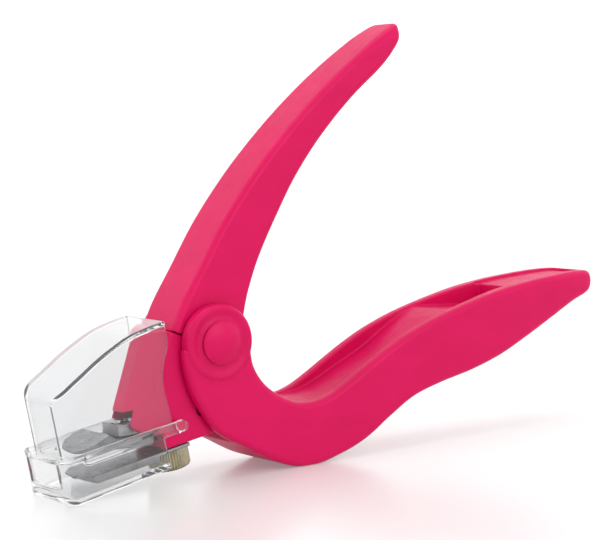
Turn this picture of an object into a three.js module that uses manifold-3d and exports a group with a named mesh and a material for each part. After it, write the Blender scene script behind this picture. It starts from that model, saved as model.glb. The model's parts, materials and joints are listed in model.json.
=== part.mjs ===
// Scissor nail clipper for pets, with a clear nail catcher. Millimetres, +Z up, +X toward the lower
// handle's tip, the pivot axis along Y. Side outlines lie in the XZ plane and are mirror images in Y.
import * as THREE from 'three';
import { mergeVertices } from 'three/addons/utils/BufferGeometryUtils.js';
import Module from 'manifold-3d';

const wasm = await Module();
wasm.setup();

// Clearances
const FIT_GAP = 0.3;
const RUN_GAP = 0.4;
const CUT_OVERRUN = 20;

// Upper handle
const UPPER_REACH = 61;
const UPPER_RISE = 73.4;
const UPPER_HALF_WIDTH = 7.5;
const upperOuterShares = [
  [-0.18, 0.02], [-0.154, 0.076], [-0.115, 0.136], [-0.036, 0.232], [0.082, 0.376], [0.239, 0.529],
  [0.423, 0.678], [0.628, 0.817], [0.833, 0.933], [0.943, 0.984], [1, 1],
];
const upperInnerShares = [
  [0.144, 0.027], [0.161, 0.093], [0.185, 0.157], [0.236, 0.253], [0.321, 0.373], [0.426, 0.504],
  [0.557, 0.629], [0.715, 0.749], [0.862, 0.84], [0.934, 0.896], [0.987, 0.948],
];
const upperWidthShares = [1, 1, 1, 1, 0.99, 0.98, 0.96, 0.93, 0.89, 0.84, 0.76];
const UPPER_STEPS = 26;
const UPPER_SQUARENESS = 5;

// Lower handle
const LOWER_REACH = 121.4;
const LOWER_DROP = 33;
const LOWER_HALF_WIDTH = 10.6;
const lowerInnerShares = [
  [0.073, -0.03], [0.0765, -0.17], [0.09, -0.278], [0.112, -0.37], [0.144, -0.45], [0.181, -0.508],
  [0.222, -0.516], [0.264, -0.478], [0.309, -0.398], [0.362, -0.29], [0.412, -0.194], [0.47, -0.1],
  [0.544, -0.01], [0.626, 0.065], [0.708, 0.127], [0.791, 0.167], [0.873, 0.191], [0.931, 0.2],
  [0.972, 0.198], [1, 0.188],
];
const lowerOuterShares = [
  [-0.077, -0.03], [-0.0735, -0.185], [-0.061, -0.34], [-0.041, -0.481], [-0.0065, -0.645],
  [0.062, -0.79], [0.128, -0.921], [0.198, -0.99], [0.272, -0.944], [0.342, -0.855],
  [0.408, -0.713], [0.47, -0.593], [0.544, -0.519], [0.626, -0.46], [0.708, -0.377], [0.791, -0.256],
  [0.873, -0.127], [0.931, -0.038], [0.969, 0.006], [0.998, 0.05],
];
const lowerWidthShares = [
  1, 1, 1, 1, 1, 1, 1, 1, 1, 1, 1, 1, 1, 0.995, 0.97, 0.93, 0.87, 0.81, 0.76, 0.69,
];
const LOWER_STEPS = 46;
const LOWER_SQUARENESS = 7;
const CHEEK_THICKNESS = 2.7;
const BOSS_RADIUS = 8.9;
const BOSS_PROUD = 0.6;
const BOSS_FILLET = 1.2;
const WEB_TOP_DEPTH = 11;
const WEB_REACH = 22;

// Thumb channel in the lower handle: a floor that rises to a ridge, then a level shelf to an end wall
const CHANNEL_HALF_WIDTH = 7.5;
const CHANNEL_END_HALF_WIDTH = 6;
const CHANNEL_END = 92.3;
const CHANNEL_DEPTH = 18;
const channelFloorShares = [
  [0.16, -0.62], [0.193, -0.82], [0.233, -0.935], [0.296, -0.972], [0.373, -0.93], [0.424, -0.84],
  [0.475, -0.72], [0.527, -0.605], [0.58, -0.483], [0.65, -0.278], [0.722, -0.078], [0.768, 0.011],
];
const SHELF_END_DEPTH = 0.9;

// Head
const HEAD_TILT = THREE.MathUtils.degToRad(9.6);
const HEAD_REACH = 24.3;
const HEAD_DEPTH = 21;
const HEAD_HALF_WIDTH = 7.5;
const NOSE_FOOT_HEIGHT = 8;
const headFootShares = [[-0.737, 0], [-0.737, 0.525], [-0.94, 0.71], [-0.985, 0.875], [-1, 1]];
const headFrontShares = [[-0.997, -0.49], [-0.642, 0.233], [-0.605, 0.271], [-0.465, 0.276]];
const SLIT_FOOT_X = -7.3;
const SLIT_FOOT_Z = 3.3;
const HEAD_REAR_TOP_X = 7.6;
const HEAD_REAR_MID_X = 8.2;
const HEAD_REAR_MID_Z = -5.2;
const HEAD_HEEL_X = 1.2;
const NOSE_RIDGE_HALF_WIDTH = 2.4;
const NOSE_RIDGE_INDEX = 1;
const noseShoulderTopShare = [-0.499, 0.1];
const noseShoulderFootShare = [-0.901, -0.72];
const SLOT_HALF_WIDTH = 4.1;
const FLOOR_THICKNESS = 2.5;
const SLOT_CEILING = 2;
const SLOT_FRONT_X = -27.6;
const SLOT_ROOF_HEIGHT = 9.9;
const SLOT_BACK_X = -17.4;
const SLOT_BACK_HEIGHT = 16.5;
const SLOT_SHOULDER_X = -14.8;
const SLOT_STEP_HEIGHT = 11.2;

// Pivot stack
const LUG_RADIUS = 6.6;
const LUG_HALF_WIDTH = 5.3;
const TINE_RADIUS = 7.5;
const PIN_RADIUS = 2.2;
const BUSH_WALL = 0.8;
const WASHER_RADIUS = 6.4;
const WASHER_THICKNESS = 0.6;
const WASHER_SINK = 0.7;
const CAP_RADIUS = 5.1;
const CAP_HEIGHT = 1.6;
const CAP_RIM = 0.35;
const DOME_STEPS = 6;

// Cam and its follower
const SQUEEZE_ANGLE = THREE.MathUtils.degToRad(28);
const ROCK_ANGLE = THREE.MathUtils.degToRad(9.5);
const CAM_NEAR_Y = -3.8;
const CAM_THICKNESS = 3.2;
const CAM_HUB_RADIUS = 5.6;
const CAM_LEAD_ANGLE = THREE.MathUtils.degToRad(5);
const CAM_TRAIL_ANGLE = THREE.MathUtils.degToRad(12);
const CAM_STEPS = 14;
const CAM_ARM_REACH_X = 17.5;
const CAM_ARM_REACH_Z = -19.5;
const CAM_ARM_HALF_WIDTH = 3;
const CARRIER_PIVOT_X = -6;
const CARRIER_PIVOT_HEIGHT = 6.5;
const FOLLOWER_X = -11.5;
const FOLLOWER_RISE = 8;
const FOLLOWER_RADIUS = 1.6;
const FOLLOWER_SHANK_RADIUS = 1;
const CAM_RIVET_RADIUS = 1.1;
const CAM_RIVET_HALF_LENGTH = 6;
const camRivetShares = [0.68, 0.93];

// Blade carrier, in its own frame: origin on its pin, blade edge level
const CARRIER_PIN_RADIUS = 1.4;
const CARRIER_PIN_COVER = 2;
const CARRIER_BOSS_RADIUS = 2.9;
const CARRIER_BOSS_NEAR_Y = -1.1;
const CARRIER_HALF_WIDTH = 3.7;
const CARRIER_ARM_NEAR_Y = -0.2;
const CARRIER_ARM_THICKNESS = 3;
const CARRIER_ARM_INSIDE = 1.2;
const CARRIER_ARM_OUTSIDE = 2.4;
const BEAM_REACH = 20.6;
const BEAM_HEIGHT = 2.5;
const BLADE_REACH = 32.2;
const BLADE_REAR_REACH = 13.2;
const BLADE_HALF_WIDTH = 6.3;
const BLADE_THICKNESS = 2;
const BLADE_HUMP_REACH = 24.6;
const BLADE_HUMP_HEIGHT = 3.6;
const BLADE_HEEL_REACH = 22.4;
const BLADE_TIP_LAND = 0.45;
const BLADE_CORNER = 2.2;
const BLADE_SCREW_RADIUS = 1;
const BLADE_SCREW_HEAD_RADIUS = 1.7;
const BLADE_SCREW_HEAD_HEIGHT = 0.6;
const BLADE_SCREW_PITCH = 3.9;
const BLADE_SCREW_FIRST_REACH = 15;

// Lower blade and its thumbscrew
const ANVIL_LEAD = 0.4;
const ANVIL_REAR_X = -10.7;
const ANVIL_HALF_WIDTH = 6.6;
const ANVIL_THICKNESS = 1.8;
const ANVIL_BEVEL_LENGTH = 2.6;
const ANVIL_BEVEL_LAND = 0.4;
const TONGUE_FRONT_X = -19.2;
const TONGUE_THICKNESS = 0.8;
const SCREW_X = -13.4;
const KNOB_RADIUS = 5;
const KNOB_HEIGHT = 4.9;
const KNOB_ROUND = 0.9;
const KNURL_DEPTH = 0.3;
const KNURL_COUNT = 44;
const STUD_RADIUS = 1.8;
const INSERT_RADIUS = 2.9;
const DOWEL_RADIUS = 0.9;
const DOWEL_X = -16;
const DOWEL_MARGIN = 2;
const DOWEL_RISE = 1.6;

// Springs
const HANDLE_SPRING_WIRE = 0.9;
const HANDLE_SPRING_RADIUS = 4.5;
const HANDLE_SPRING_PITCH = 1.4;
const HANDLE_SPRING_TURNS = 2;
const HANDLE_SPRING_START = THREE.MathUtils.degToRad(30);
const HANDLE_SPRING_MOVING_LEG = 14.4;
const HANDLE_SPRING_FIXED_LEG = 4.4;
const LEAF_THICKNESS = 0.4;
const LEAF_HALF_WIDTH = 2.4;
const LEAF_REAR_X = -4;
const LEAF_BEND_X = -9;
const LEAF_TIP_X = -16.8;
const LEAF_RISE = 1.25;
const LEAF_CURL = 1.5;
const LEAF_STEPS = 8;
const COIL_STEPS_PER_TURN = 8;
const GAP_SAMPLES_PER_TURN = 40;
const WIRE_SIDES = 5;

// Nail catcher: clear cover over the jaws, and a clear tray under them
const CATCHER_ROOM = 4.7;
const CATCHER_RISE = 7.9;
const CATCHER_WALL = 1.1;
const COVER_REAR_HALF_WIDTH = 9;
const COVER_FRONT_HALF_WIDTH = 8.8;
const COVER_CORNER = 3;
const COVER_FOOT_HEIGHT = 4.6;
const coverRoofShares = [
  [-1, -0.36], [-0.985, -0.16], [-0.924, 0.05], [-0.827, 0.3], [-0.727, 0.556], [-0.63, 0.76],
  [-0.52, 0.947], [-0.393, 1.04], [-0.286, 1.06],
];
const COVER_REAR_DEPTH = 14;
const coverRearShares = [
  [-0.284, 0.36], [-0.291, 0.2], [-0.333, -0.064], [-0.356, -0.3], [-0.36, -0.586], [-0.353, -0.843],
];
const TRAY_LEDGE = 2.6;
const TRAY_REAR_X = -18.9;
const TRAY_HALF_WIDTH = 10.6;
const TRAY_TOP_HEIGHT = 6.4;
const TRAY_FLOOR_DROP = 4.4;
const TRAY_FLOOR_FALL = 0.8;
const TRAY_CORNER = 3.4;
const TRAY_FRONT_SQUARENESS = 2.4;
const TRAY_FRONT_STEPS = 16;
const TRAY_FRONT_RISE = 2.6;
const TRAY_RISE_STEPS = 5;
const RAIL_HEIGHT = 2.6;
const RAIL_PROUD = 0.6;
const ARM_REAR_X = -12.5;
const PIP_X = -14;
const PIP_HEIGHT = 5.2;
const PIP_RADIUS = 1.2;
const PIP_PROUD = 1.2;
const NAIL_SLOT_HALF_WIDTH = 7;
const NAIL_SLOT_TOP_HEIGHT = 5.3;
const NAIL_SLOT_FOOT_DROP = 0.5;

const ROUND_SEGMENTS = 24;
const FINE_SEGMENTS = 32;
const SKIN_POINTS = 24;

const PINK = new THREE.Color(0xe3225f);
const STEEL = new THREE.Color(0xa7a8ab);
const BRASS = new THREE.Color(0xa08f5c);
const CLEAR = new THREE.Color(0xe8eef2);

// Materials
function plastic() {
  return new THREE.MeshStandardMaterial({ color: PINK, roughness: 0.42, metalness: 0 });
}

function steel() {
  return new THREE.MeshStandardMaterial({ color: STEEL, roughness: 0.3, metalness: 1 });
}

function brass() {
  return new THREE.MeshStandardMaterial({ color: BRASS, roughness: 0.35, metalness: 1 });
}

function clearPlastic() {
  return new THREE.MeshStandardMaterial({
    color: CLEAR, roughness: 0.08, metalness: 0, transparent: true, opacity: 0.3,
  });
}

// Solids
function solidOf(geometry) {
  const bare = geometry.clone();
  bare.deleteAttribute('normal');
  bare.deleteAttribute('uv');
  const merged = mergeVertices(bare);
  return new wasm.Manifold(new wasm.Mesh({
    numProp: 3,
    vertProperties: new Float32Array(merged.attributes.position.array),
    triVerts: new Uint32Array(merged.index.array),
  }));
}

function geometryOf(solid) {
  const mesh = solid.getMesh();
  const geometry = new THREE.BufferGeometry();
  geometry.setAttribute('position', new THREE.BufferAttribute(new Float32Array(mesh.vertProperties), 3));
  geometry.setIndex(new THREE.BufferAttribute(new Uint32Array(mesh.triVerts), 1));
  geometry.computeVertexNormals();
  return geometry;
}

// A closed XZ outline swept along Y from yLow to yHigh.
function sidePlate(points, yLow, yHigh) {
  const outline = new THREE.Shape(points.map(([x, z]) => new THREE.Vector2(x, z)));
  const plate = new THREE.ExtrudeGeometry(outline, { depth: yHigh - yLow, bevelEnabled: false });
  return plate.rotateX(Math.PI / 2).translate(0, yHigh, 0);
}

// A closed XY outline swept along Z from zLow to zHigh.
function planPlate(points, zLow, zHigh) {
  const outline = new THREE.Shape(points.map(([x, y]) => new THREE.Vector2(x, y)));
  const plate = new THREE.ExtrudeGeometry(outline, { depth: zHigh - zLow, bevelEnabled: false });
  return plate.translate(0, 0, zLow);
}

function box(xLow, xHigh, yLow, yHigh, zLow, zHigh) {
  const block = new THREE.BoxGeometry(xHigh - xLow, yHigh - yLow, zHigh - zLow);
  return block.translate((xLow + xHigh) / 2, (yLow + yHigh) / 2, (zLow + zHigh) / 2);
}

// A round bar along Y.
function crossBar(x, z, radius, yLow, yHigh, segments = ROUND_SEGMENTS) {
  const bar = new THREE.CylinderGeometry(radius, radius, yHigh - yLow, segments);
  return bar.translate(x, (yLow + yHigh) / 2, z);
}

// A round bar along Z.
function uprightBar(x, y, radius, zLow, zHigh, segments = ROUND_SEGMENTS) {
  const bar = new THREE.CylinderGeometry(radius, radius, zHigh - zLow, segments);
  return bar.rotateX(Math.PI / 2).translate(x, y, (zLow + zHigh) / 2);
}

function joined(first, ...others) {
  return others.reduce((sum, other) => sum.add(solidOf(other)), solidOf(first));
}

function without(solid, ...tools) {
  return tools.reduce((rest, tool) => rest.subtract(solidOf(tool)), solid);
}

// Two tools, the second mirrored in Y.
function bothSides(makeTool) {
  return [1, -1].map((side) => makeTool(side));
}

function scaled(shares, xSize, zSize) {
  return shares.map(([x, z]) => [x * xSize, z * zSize]);
}

function pinned(solid, ...bars) {
  return geometryOf(without(solid, ...bars));
}

// A point of the tilted head frame, in the upright frame.
function headPoint([x, z]) {
  const cos = Math.cos(HEAD_TILT);
  const sin = Math.sin(HEAD_TILT);
  return [x * cos - z * sin, x * sin + z * cos];
}

function turned([x, z], angle) {
  return [x * Math.cos(angle) - z * Math.sin(angle), x * Math.sin(angle) + z * Math.cos(angle)];
}

// A handle's skin: rounded sections between its left and right edge curves, seen going along it from
// the near side. A higher exponent makes the sections squarer.
function handleSkin(leftPoints, rightPoints, halfWidths, steps, squareness) {
  const curve = (points) => new THREE.SplineCurve(points.map(([x, z]) => new THREE.Vector2(x, z)));
  const left = curve(leftPoints).getPoints(steps);
  const right = curve(rightPoints).getPoints(steps);
  const widths = curve(halfWidths.map((width, index) => [index, width])).getPoints(steps);
  const positions = [];
  const faces = [];
  for (let step = 0; step <= steps; step += 1) {
    const centre = left[step].clone().add(right[step]).multiplyScalar(1 / 2);
    const half = left[step].clone().sub(right[step]).multiplyScalar(1 / 2);
    for (let k = 0; k < SKIN_POINTS; k += 1) {
      const angle = (2 * Math.PI * (k + 1 / 2)) / SKIN_POINTS;
      const along = Math.sign(Math.cos(angle)) * Math.abs(Math.cos(angle)) ** (2 / squareness);
      const across = Math.sign(Math.sin(angle)) * Math.abs(Math.sin(angle)) ** (2 / squareness);
      positions.push(centre.x + half.x * along, widths[step].y * across, centre.y + half.y * along);
    }
  }
  for (let step = 0; step < steps; step += 1) {
    for (let k = 0; k < SKIN_POINTS; k += 1) {
      const a = step * SKIN_POINTS + k;
      const b = step * SKIN_POINTS + ((k + 1) % SKIN_POINTS);
      faces.push(a, a + SKIN_POINTS, b, b, a + SKIN_POINTS, b + SKIN_POINTS);
    }
  }
  for (let k = 1; k < SKIN_POINTS - 1; k += 1) {
    const last = steps * SKIN_POINTS;
    faces.push(0, k, k + 1, last, last + k + 1, last + k);
  }
  const skin = new THREE.BufferGeometry();
  skin.setAttribute('position', new THREE.BufferAttribute(new Float32Array(positions), 3));
  skin.setIndex(faces);
  return skin;
}

function arcPoints(x, z, radius, from, to, steps) {
  const points = [];
  for (let k = 0; k <= steps; k += 1) {
    const angle = from + ((to - from) * k) / steps;
    points.push([x + radius * Math.cos(angle), z + radius * Math.sin(angle)]);
  }
  return points;
}

// An open polyline moved sideways by a distance, to its left when positive.
function shifted(points, distance) {
  return points.map(([x, z], index) => {
    const [beforeX, beforeZ] = points[Math.max(index - 1, 0)];
    const [afterX, afterZ] = points[Math.min(index + 1, points.length - 1)];
    const length = Math.hypot(afterX - beforeX, afterZ - beforeZ);
    return [x - (distance * (afterZ - beforeZ)) / length, z + (distance * (afterX - beforeX)) / length];
  });
}

// Places in the head's frame. Heights count from the head's foot, and reaches forward from the pivot.
const headFoot = -HEAD_DEPTH;
const carrierPivotZ = headFoot + CARRIER_PIVOT_HEIGHT;
const anvilReach = BLADE_REACH - CARRIER_PIVOT_X + ANVIL_LEAD;
const catcherReach = anvilReach + CATCHER_ROOM;
const trayReach = catcherReach + TRAY_LEDGE;
const dowelHalfPitch = ANVIL_HALF_WIDTH - DOWEL_MARGIN;
const trayTop = headFoot + TRAY_TOP_HEIGHT;
const trayFloor = headFoot - TRAY_FLOOR_DROP;
const coverFoot = headFoot + COVER_FOOT_HEIGHT;

// Head outline in its own frame, from the heel round the front to the slit and the rear face.
const headTop = [
  [SLIT_FOOT_X, SLIT_FOOT_Z],
  [HEAD_REAR_TOP_X, SLIT_FOOT_Z],
];
const headRear = [[HEAD_REAR_MID_X, HEAD_REAR_MID_Z], [HEAD_HEEL_X, headFoot]];
const headFront = scaled(headFrontShares, HEAD_REACH, HEAD_DEPTH);
const noseFoot = scaled(headFootShares, HEAD_REACH, NOSE_FOOT_HEIGHT).map(([x, z]) => [x, headFoot + z]);
const headOutline = [...noseFoot, ...headFront, ...headTop, ...headRear];
const slitTop = headFront.at(-1);
const boreRadius = PIN_RADIUS + FIT_GAP;
const cheekInside = LOWER_HALF_WIDTH - CHEEK_THICKNESS;
const bossFace = LOWER_HALF_WIDTH + BOSS_PROUD;

function makeUpperHandle() {
  const skin = solidOf(handleSkin(
    scaled(upperOuterShares, UPPER_REACH, UPPER_RISE),
    scaled(upperInnerShares, UPPER_REACH, UPPER_RISE),
    upperWidthShares.map((share) => share * UPPER_HALF_WIDTH),
    UPPER_STEPS, UPPER_SQUARENESS,
  ));
  const slit = shifted([[slitTop[0] - CUT_OVERRUN, slitTop[1]], slitTop, ...headTop], FIT_GAP).map(headPoint);
  const below = [[CUT_OVERRUN, slit.at(-1)[1]], [CUT_OVERRUN, -CUT_OVERRUN], [slit[0][0], -CUT_OVERRUN]];
  const trimmed = without(skin, sidePlate([...slit, ...below], -CUT_OVERRUN, CUT_OVERRUN));
  const fork = LUG_HALF_WIDTH + FIT_GAP;
  const slotted = without(trimmed, crossBar(0, 0, LUG_RADIUS + FIT_GAP, -fork, fork, FINE_SEGMENTS));
  const tines = bothSides((side) => {
    const [low, high] = side > 0 ? [fork, UPPER_HALF_WIDTH] : [-UPPER_HALF_WIDTH, -fork];
    return crossBar(0, 0, TINE_RADIUS, low, high, FINE_SEGMENTS);
  });
  const whole = tines.reduce((sum, tine) => sum.add(solidOf(tine)), slotted);
  return pinned(whole, crossBar(0, 0, boreRadius, -CUT_OVERRUN, CUT_OVERRUN));
}

function makeHeadHousing() {
  const shell = joined(
    sidePlate(headOutline, -HEAD_HALF_WIDTH, HEAD_HALF_WIDTH),
    crossBar(0, 0, LUG_RADIUS, -LUG_HALF_WIDTH, LUG_HALF_WIDTH, FINE_SEGMENTS),
  );
  const tineSeats = bothSides((side) => {
    const [low, high] = side > 0 ? [LUG_HALF_WIDTH, CUT_OVERRUN] : [-CUT_OVERRUN, -LUG_HALF_WIDTH];
    return crossBar(0, 0, TINE_RADIUS + FIT_GAP, low, high, FINE_SEGMENTS);
  });
  const floorTop = headFoot + FLOOR_THICKNESS;
  const frontX = noseFoot[0][0];
  const slot = sidePlate([
    [SLOT_FRONT_X, headFoot - CUT_OVERRUN],
    [frontX, headFoot - CUT_OVERRUN],
    [frontX, floorTop],
    [CUT_OVERRUN, floorTop],
    [CUT_OVERRUN, SLOT_CEILING],
    [SLOT_SHOULDER_X, SLOT_CEILING],
    [SLOT_BACK_X, headFoot + SLOT_BACK_HEIGHT],
    [SLOT_BACK_X, headFoot + SLOT_STEP_HEIGHT],
    [SLOT_FRONT_X, headFoot + SLOT_ROOF_HEIGHT],
  ], -SLOT_HALF_WIDTH, SLOT_HALF_WIDTH);
  const hubRoom = crossBar(0, 0, CAM_HUB_RADIUS + RUN_GAP, -SLOT_HALF_WIDTH, SLOT_HALF_WIDTH);
  const bores = [
    crossBar(0, 0, boreRadius, -CUT_OVERRUN, CUT_OVERRUN),
    crossBar(CARRIER_PIVOT_X, carrierPivotZ, CARRIER_PIN_RADIUS + FIT_GAP,
      -CUT_OVERRUN, HEAD_HALF_WIDTH - CARRIER_PIN_COVER),
    uprightBar(SCREW_X, 0, INSERT_RADIUS + FIT_GAP, headFoot - CUT_OVERRUN, floorTop + FIT_GAP),
    ...dowelSpots().map(([x, y]) => uprightBar(x, y, DOWEL_RADIUS + FIT_GAP,
      headFoot - CUT_OVERRUN, headFoot + DOWEL_RISE + FIT_GAP)),
  ];
  const bevels = bothSides((side) => noseBevel(side));
  const body = without(shell, ...tineSeats, slot, hubRoom, springNotch(), ...bores, ...bevels);
  const pips = bothSides((side) => {
    const [low, high] = [HEAD_HALF_WIDTH - PIP_PROUD, HEAD_HALF_WIDTH + PIP_PROUD];
    const span = side > 0 ? [low, high] : [-high, -low];
    return crossBar(PIP_X, headFoot + PIP_HEIGHT, PIP_RADIUS, ...span);
  });
  return geometryOf(pips.reduce((sum, pip) => sum.add(solidOf(pip)), body));
}

// The wedge taken off one side of the nose, from the shoulder line to the narrow front ridge.
function noseBevel(side) {
  const [top, foot] = scaled([noseShoulderTopShare, noseShoulderFootShare], HEAD_REACH, HEAD_DEPTH);
  const lean = Math.atan2(foot[0] - top[0], top[1] - foot[1]);
  const [ridgeX, ridgeZ] = headFront[NOSE_RIDGE_INDEX];
  const depth = (top[0] - ridgeX) * Math.cos(lean) - (ridgeZ - top[1]) * Math.sin(lean);
  const outside = HEAD_HALF_WIDTH + CUT_OVERRUN;
  const corners = [
    [0, HEAD_HALF_WIDTH], [-depth, NOSE_RIDGE_HALF_WIDTH], [-depth - CUT_OVERRUN, NOSE_RIDGE_HALF_WIDTH],
    [-depth - CUT_OVERRUN, outside], [0, outside],
  ];
  const length = 2 * (HEAD_DEPTH + CUT_OVERRUN);
  const tool = planPlate(corners.map(([x, y]) => [x, side * y]), -length / 2, length / 2);
  return tool.rotateY(-lean).translate((top[0] + foot[0]) / 2, 0, (top[1] + foot[1]) / 2);
}

function pivotCapOn(side) {
  const profile = [new THREE.Vector2(0, 0), new THREE.Vector2(CAP_RADIUS, 0)];
  const domeRadius = (CAP_RADIUS ** 2 + (CAP_HEIGHT - CAP_RIM) ** 2) / (2 * (CAP_HEIGHT - CAP_RIM));
  const rimAngle = Math.asin(CAP_RADIUS / domeRadius);
  for (let k = 0; k < DOME_STEPS; k += 1) {
    const angle = rimAngle * (1 - k / DOME_STEPS);
    const height = CAP_HEIGHT - domeRadius * (1 - Math.cos(angle));
    profile.push(new THREE.Vector2(domeRadius * Math.sin(angle), height));
  }
  profile.push(new THREE.Vector2(0, CAP_HEIGHT));
  const cap = new THREE.LatheGeometry(profile, FINE_SEGMENTS);
  cap.rotateX(side > 0 ? 0 : Math.PI);
  return cap.translate(0, side * (bossFace + FIT_GAP), 0);
}

function ringAlongY(inside, outside, yLow, yHigh) {
  return geometryOf(without(
    solidOf(crossBar(0, 0, outside, yLow, yHigh)),
    crossBar(0, 0, inside, yLow - CUT_OVERRUN, yHigh + CUT_OVERRUN),
  ));
}

function washerOn(side) {
  const seat = cheekInside + WASHER_SINK - FIT_GAP;
  const [low, high] = side > 0 ? [seat - WASHER_THICKNESS, seat] : [-seat, WASHER_THICKNESS - seat];
  return ringAlongY(boreRadius, WASHER_RADIUS, low, high);
}

// The face of the lower handle's web, parallel to the head's rear face.
function webFace() {
  const [mid, heel] = headRear.map(headPoint);
  const slope = (mid[0] - heel[0]) / (mid[1] - heel[1]);
  const gap = RUN_GAP / Math.cos(Math.atan(slope));
  const atDepth = (z) => heel[0] + gap + slope * (z - heel[1]);
  return [[atDepth(-LOWER_DROP - CUT_OVERRUN), -LOWER_DROP - CUT_OVERRUN],
    [atDepth(-WEB_TOP_DEPTH), -WEB_TOP_DEPTH]];
}

// The line of the cam plate's arm, from the pivot to its end inside the web.
function armPoint(share, side = 0) {
  const length = Math.hypot(CAM_ARM_REACH_X, CAM_ARM_REACH_Z);
  const [ux, uz] = [CAM_ARM_REACH_X / length, CAM_ARM_REACH_Z / length];
  return [ux * length * share - uz * side, uz * length * share + ux * side];
}

function armPlate(extra, yLow, yHigh) {
  const half = CAM_ARM_HALF_WIDTH + extra;
  const length = Math.hypot(CAM_ARM_REACH_X, CAM_ARM_REACH_Z);
  const end = 1 + extra / length;
  return sidePlate([armPoint(0, -half), armPoint(end, -half), armPoint(end, half), armPoint(0, half)],
    yLow, yHigh);
}

function makeLowerHandle() {
  const skin = solidOf(handleSkin(
    scaled(lowerInnerShares, LOWER_REACH, LOWER_DROP),
    scaled(lowerOuterShares, LOWER_REACH, LOWER_DROP),
    lowerWidthShares.map((share) => share * LOWER_HALF_WIDTH),
    LOWER_STEPS, LOWER_SQUARENESS,
  ));
  const bossProfile = [
    new THREE.Vector2(0, -bossFace),
    new THREE.Vector2(BOSS_RADIUS - BOSS_FILLET, -bossFace),
    new THREE.Vector2(BOSS_RADIUS, BOSS_FILLET - bossFace),
    new THREE.Vector2(BOSS_RADIUS, bossFace - BOSS_FILLET),
    new THREE.Vector2(BOSS_RADIUS - BOSS_FILLET, bossFace),
    new THREE.Vector2(0, bossFace),
  ];
  const body = skin.add(solidOf(new THREE.LatheGeometry(bossProfile, 2 * FINE_SEGMENTS)));
  const [faceFoot, faceTop] = webFace();
  const headRoom = sidePlate([
    [-LOWER_REACH, faceFoot[1]], faceFoot, faceTop, [WEB_REACH, -WEB_TOP_DEPTH],
    [WEB_REACH, LOWER_DROP], [-LOWER_REACH, LOWER_DROP],
  ], -cheekInside, cheekInside);
  const floor = scaled(channelFloorShares, CHANNEL_END, CHANNEL_DEPTH);
  const channel = solidOf(sidePlate([
    ...floor, [CHANNEL_END, -SHELF_END_DEPTH], [CHANNEL_END, LOWER_DROP], [floor[0][0], LOWER_DROP],
  ], -CHANNEL_HALF_WIDTH, CHANNEL_HALF_WIDTH)).intersect(solidOf(channelPlan(floor.at(-1)[0])));
  const camSlot = armPlate(FIT_GAP, CAM_NEAR_Y - FIT_GAP, CAM_NEAR_Y + CAM_THICKNESS + FIT_GAP);
  const rivetHoles = camRivetShares.map((share) => crossBar(...armPoint(share),
    CAM_RIVET_RADIUS + FIT_GAP, -CAM_RIVET_HALF_LENGTH - FIT_GAP, CAM_RIVET_HALF_LENGTH + FIT_GAP));
  const seat = cheekInside + WASHER_SINK;
  const washerSeat = crossBar(0, 0, WASHER_RADIUS + FIT_GAP, -seat, seat);
  const below = box(-LOWER_REACH, 2 * LOWER_REACH, -CUT_OVERRUN, CUT_OVERRUN,
    -LOWER_DROP - CUT_OVERRUN, restingDepth());
  return pinned(without(body.subtract(channel), headRoom, camSlot, ...rivetHoles, washerSeat, below),
    crossBar(0, 0, boreRadius, -CUT_OVERRUN, CUT_OVERRUN));
}

// The thumb channel seen from above: straight sides that close in past the ridge.
function channelPlan(ridgeX) {
  const half = [[0, CHANNEL_HALF_WIDTH], [ridgeX, CHANNEL_HALF_WIDTH], [CHANNEL_END, CHANNEL_END_HALF_WIDTH]];
  const other = half.map(([x, y]) => [x, -y]).reverse();
  return planPlate([...other, ...half], -LOWER_DROP, LOWER_DROP);
}

// Height of the surface that the object rests on: the tray's lowest edge, with the belly cut flat to it.
function restingDepth() {
  return Math.min(...trayFootOutline().map((point) => headPoint(point)[1]));
}

// Cam edge: the follower's path seen from the turning handle, moved in by the follower's radius.
function camEdge() {
  const arm = [FOLLOWER_X - CARRIER_PIVOT_X, FOLLOWER_RISE];
  const ratio = ROCK_ANGLE / SQUEEZE_ANGLE;
  const path = [];
  for (let k = 0; k <= CAM_STEPS; k += 1) {
    const squeeze = -CAM_TRAIL_ANGLE
      + ((SQUEEZE_ANGLE + CAM_LEAD_ANGLE + CAM_TRAIL_ANGLE) * k) / CAM_STEPS;
    const [dx, dz] = turned(arm, Math.max(squeeze, 0) * ratio);
    path.push(turned(headPoint([CARRIER_PIVOT_X + dx, carrierPivotZ + dz]), -squeeze));
  }
  return shifted(path, -FOLLOWER_RADIUS - FIT_GAP);
}

function makeCamPlate() {
  const edge = camEdge();
  const low = CAM_NEAR_Y;
  const high = CAM_NEAR_Y + CAM_THICKNESS;
  const plate = joined(
    sidePlate([...edge, [0, 0]], low, high),
    crossBar(0, 0, CAM_HUB_RADIUS, low, high),
    armPlate(0, low, high),
  );
  return pinned(plate,
    crossBar(0, 0, boreRadius + BUSH_WALL + FIT_GAP, low - CUT_OVERRUN, high + CUT_OVERRUN),
    ...camRivetShares.map((share) => crossBar(...armPoint(share), CAM_RIVET_RADIUS + FIT_GAP,
      low - CUT_OVERRUN, high + CUT_OVERRUN)));
}

// Blade carrier: boss on its pin, an arm up to the follower and a beam forward over the blade. The neck
// of the beam clears the head's floor when the jaws are closed.
function followerSeat() {
  return turned([FOLLOWER_X - CARRIER_PIVOT_X, FOLLOWER_RISE], ROCK_ANGLE);
}

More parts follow.
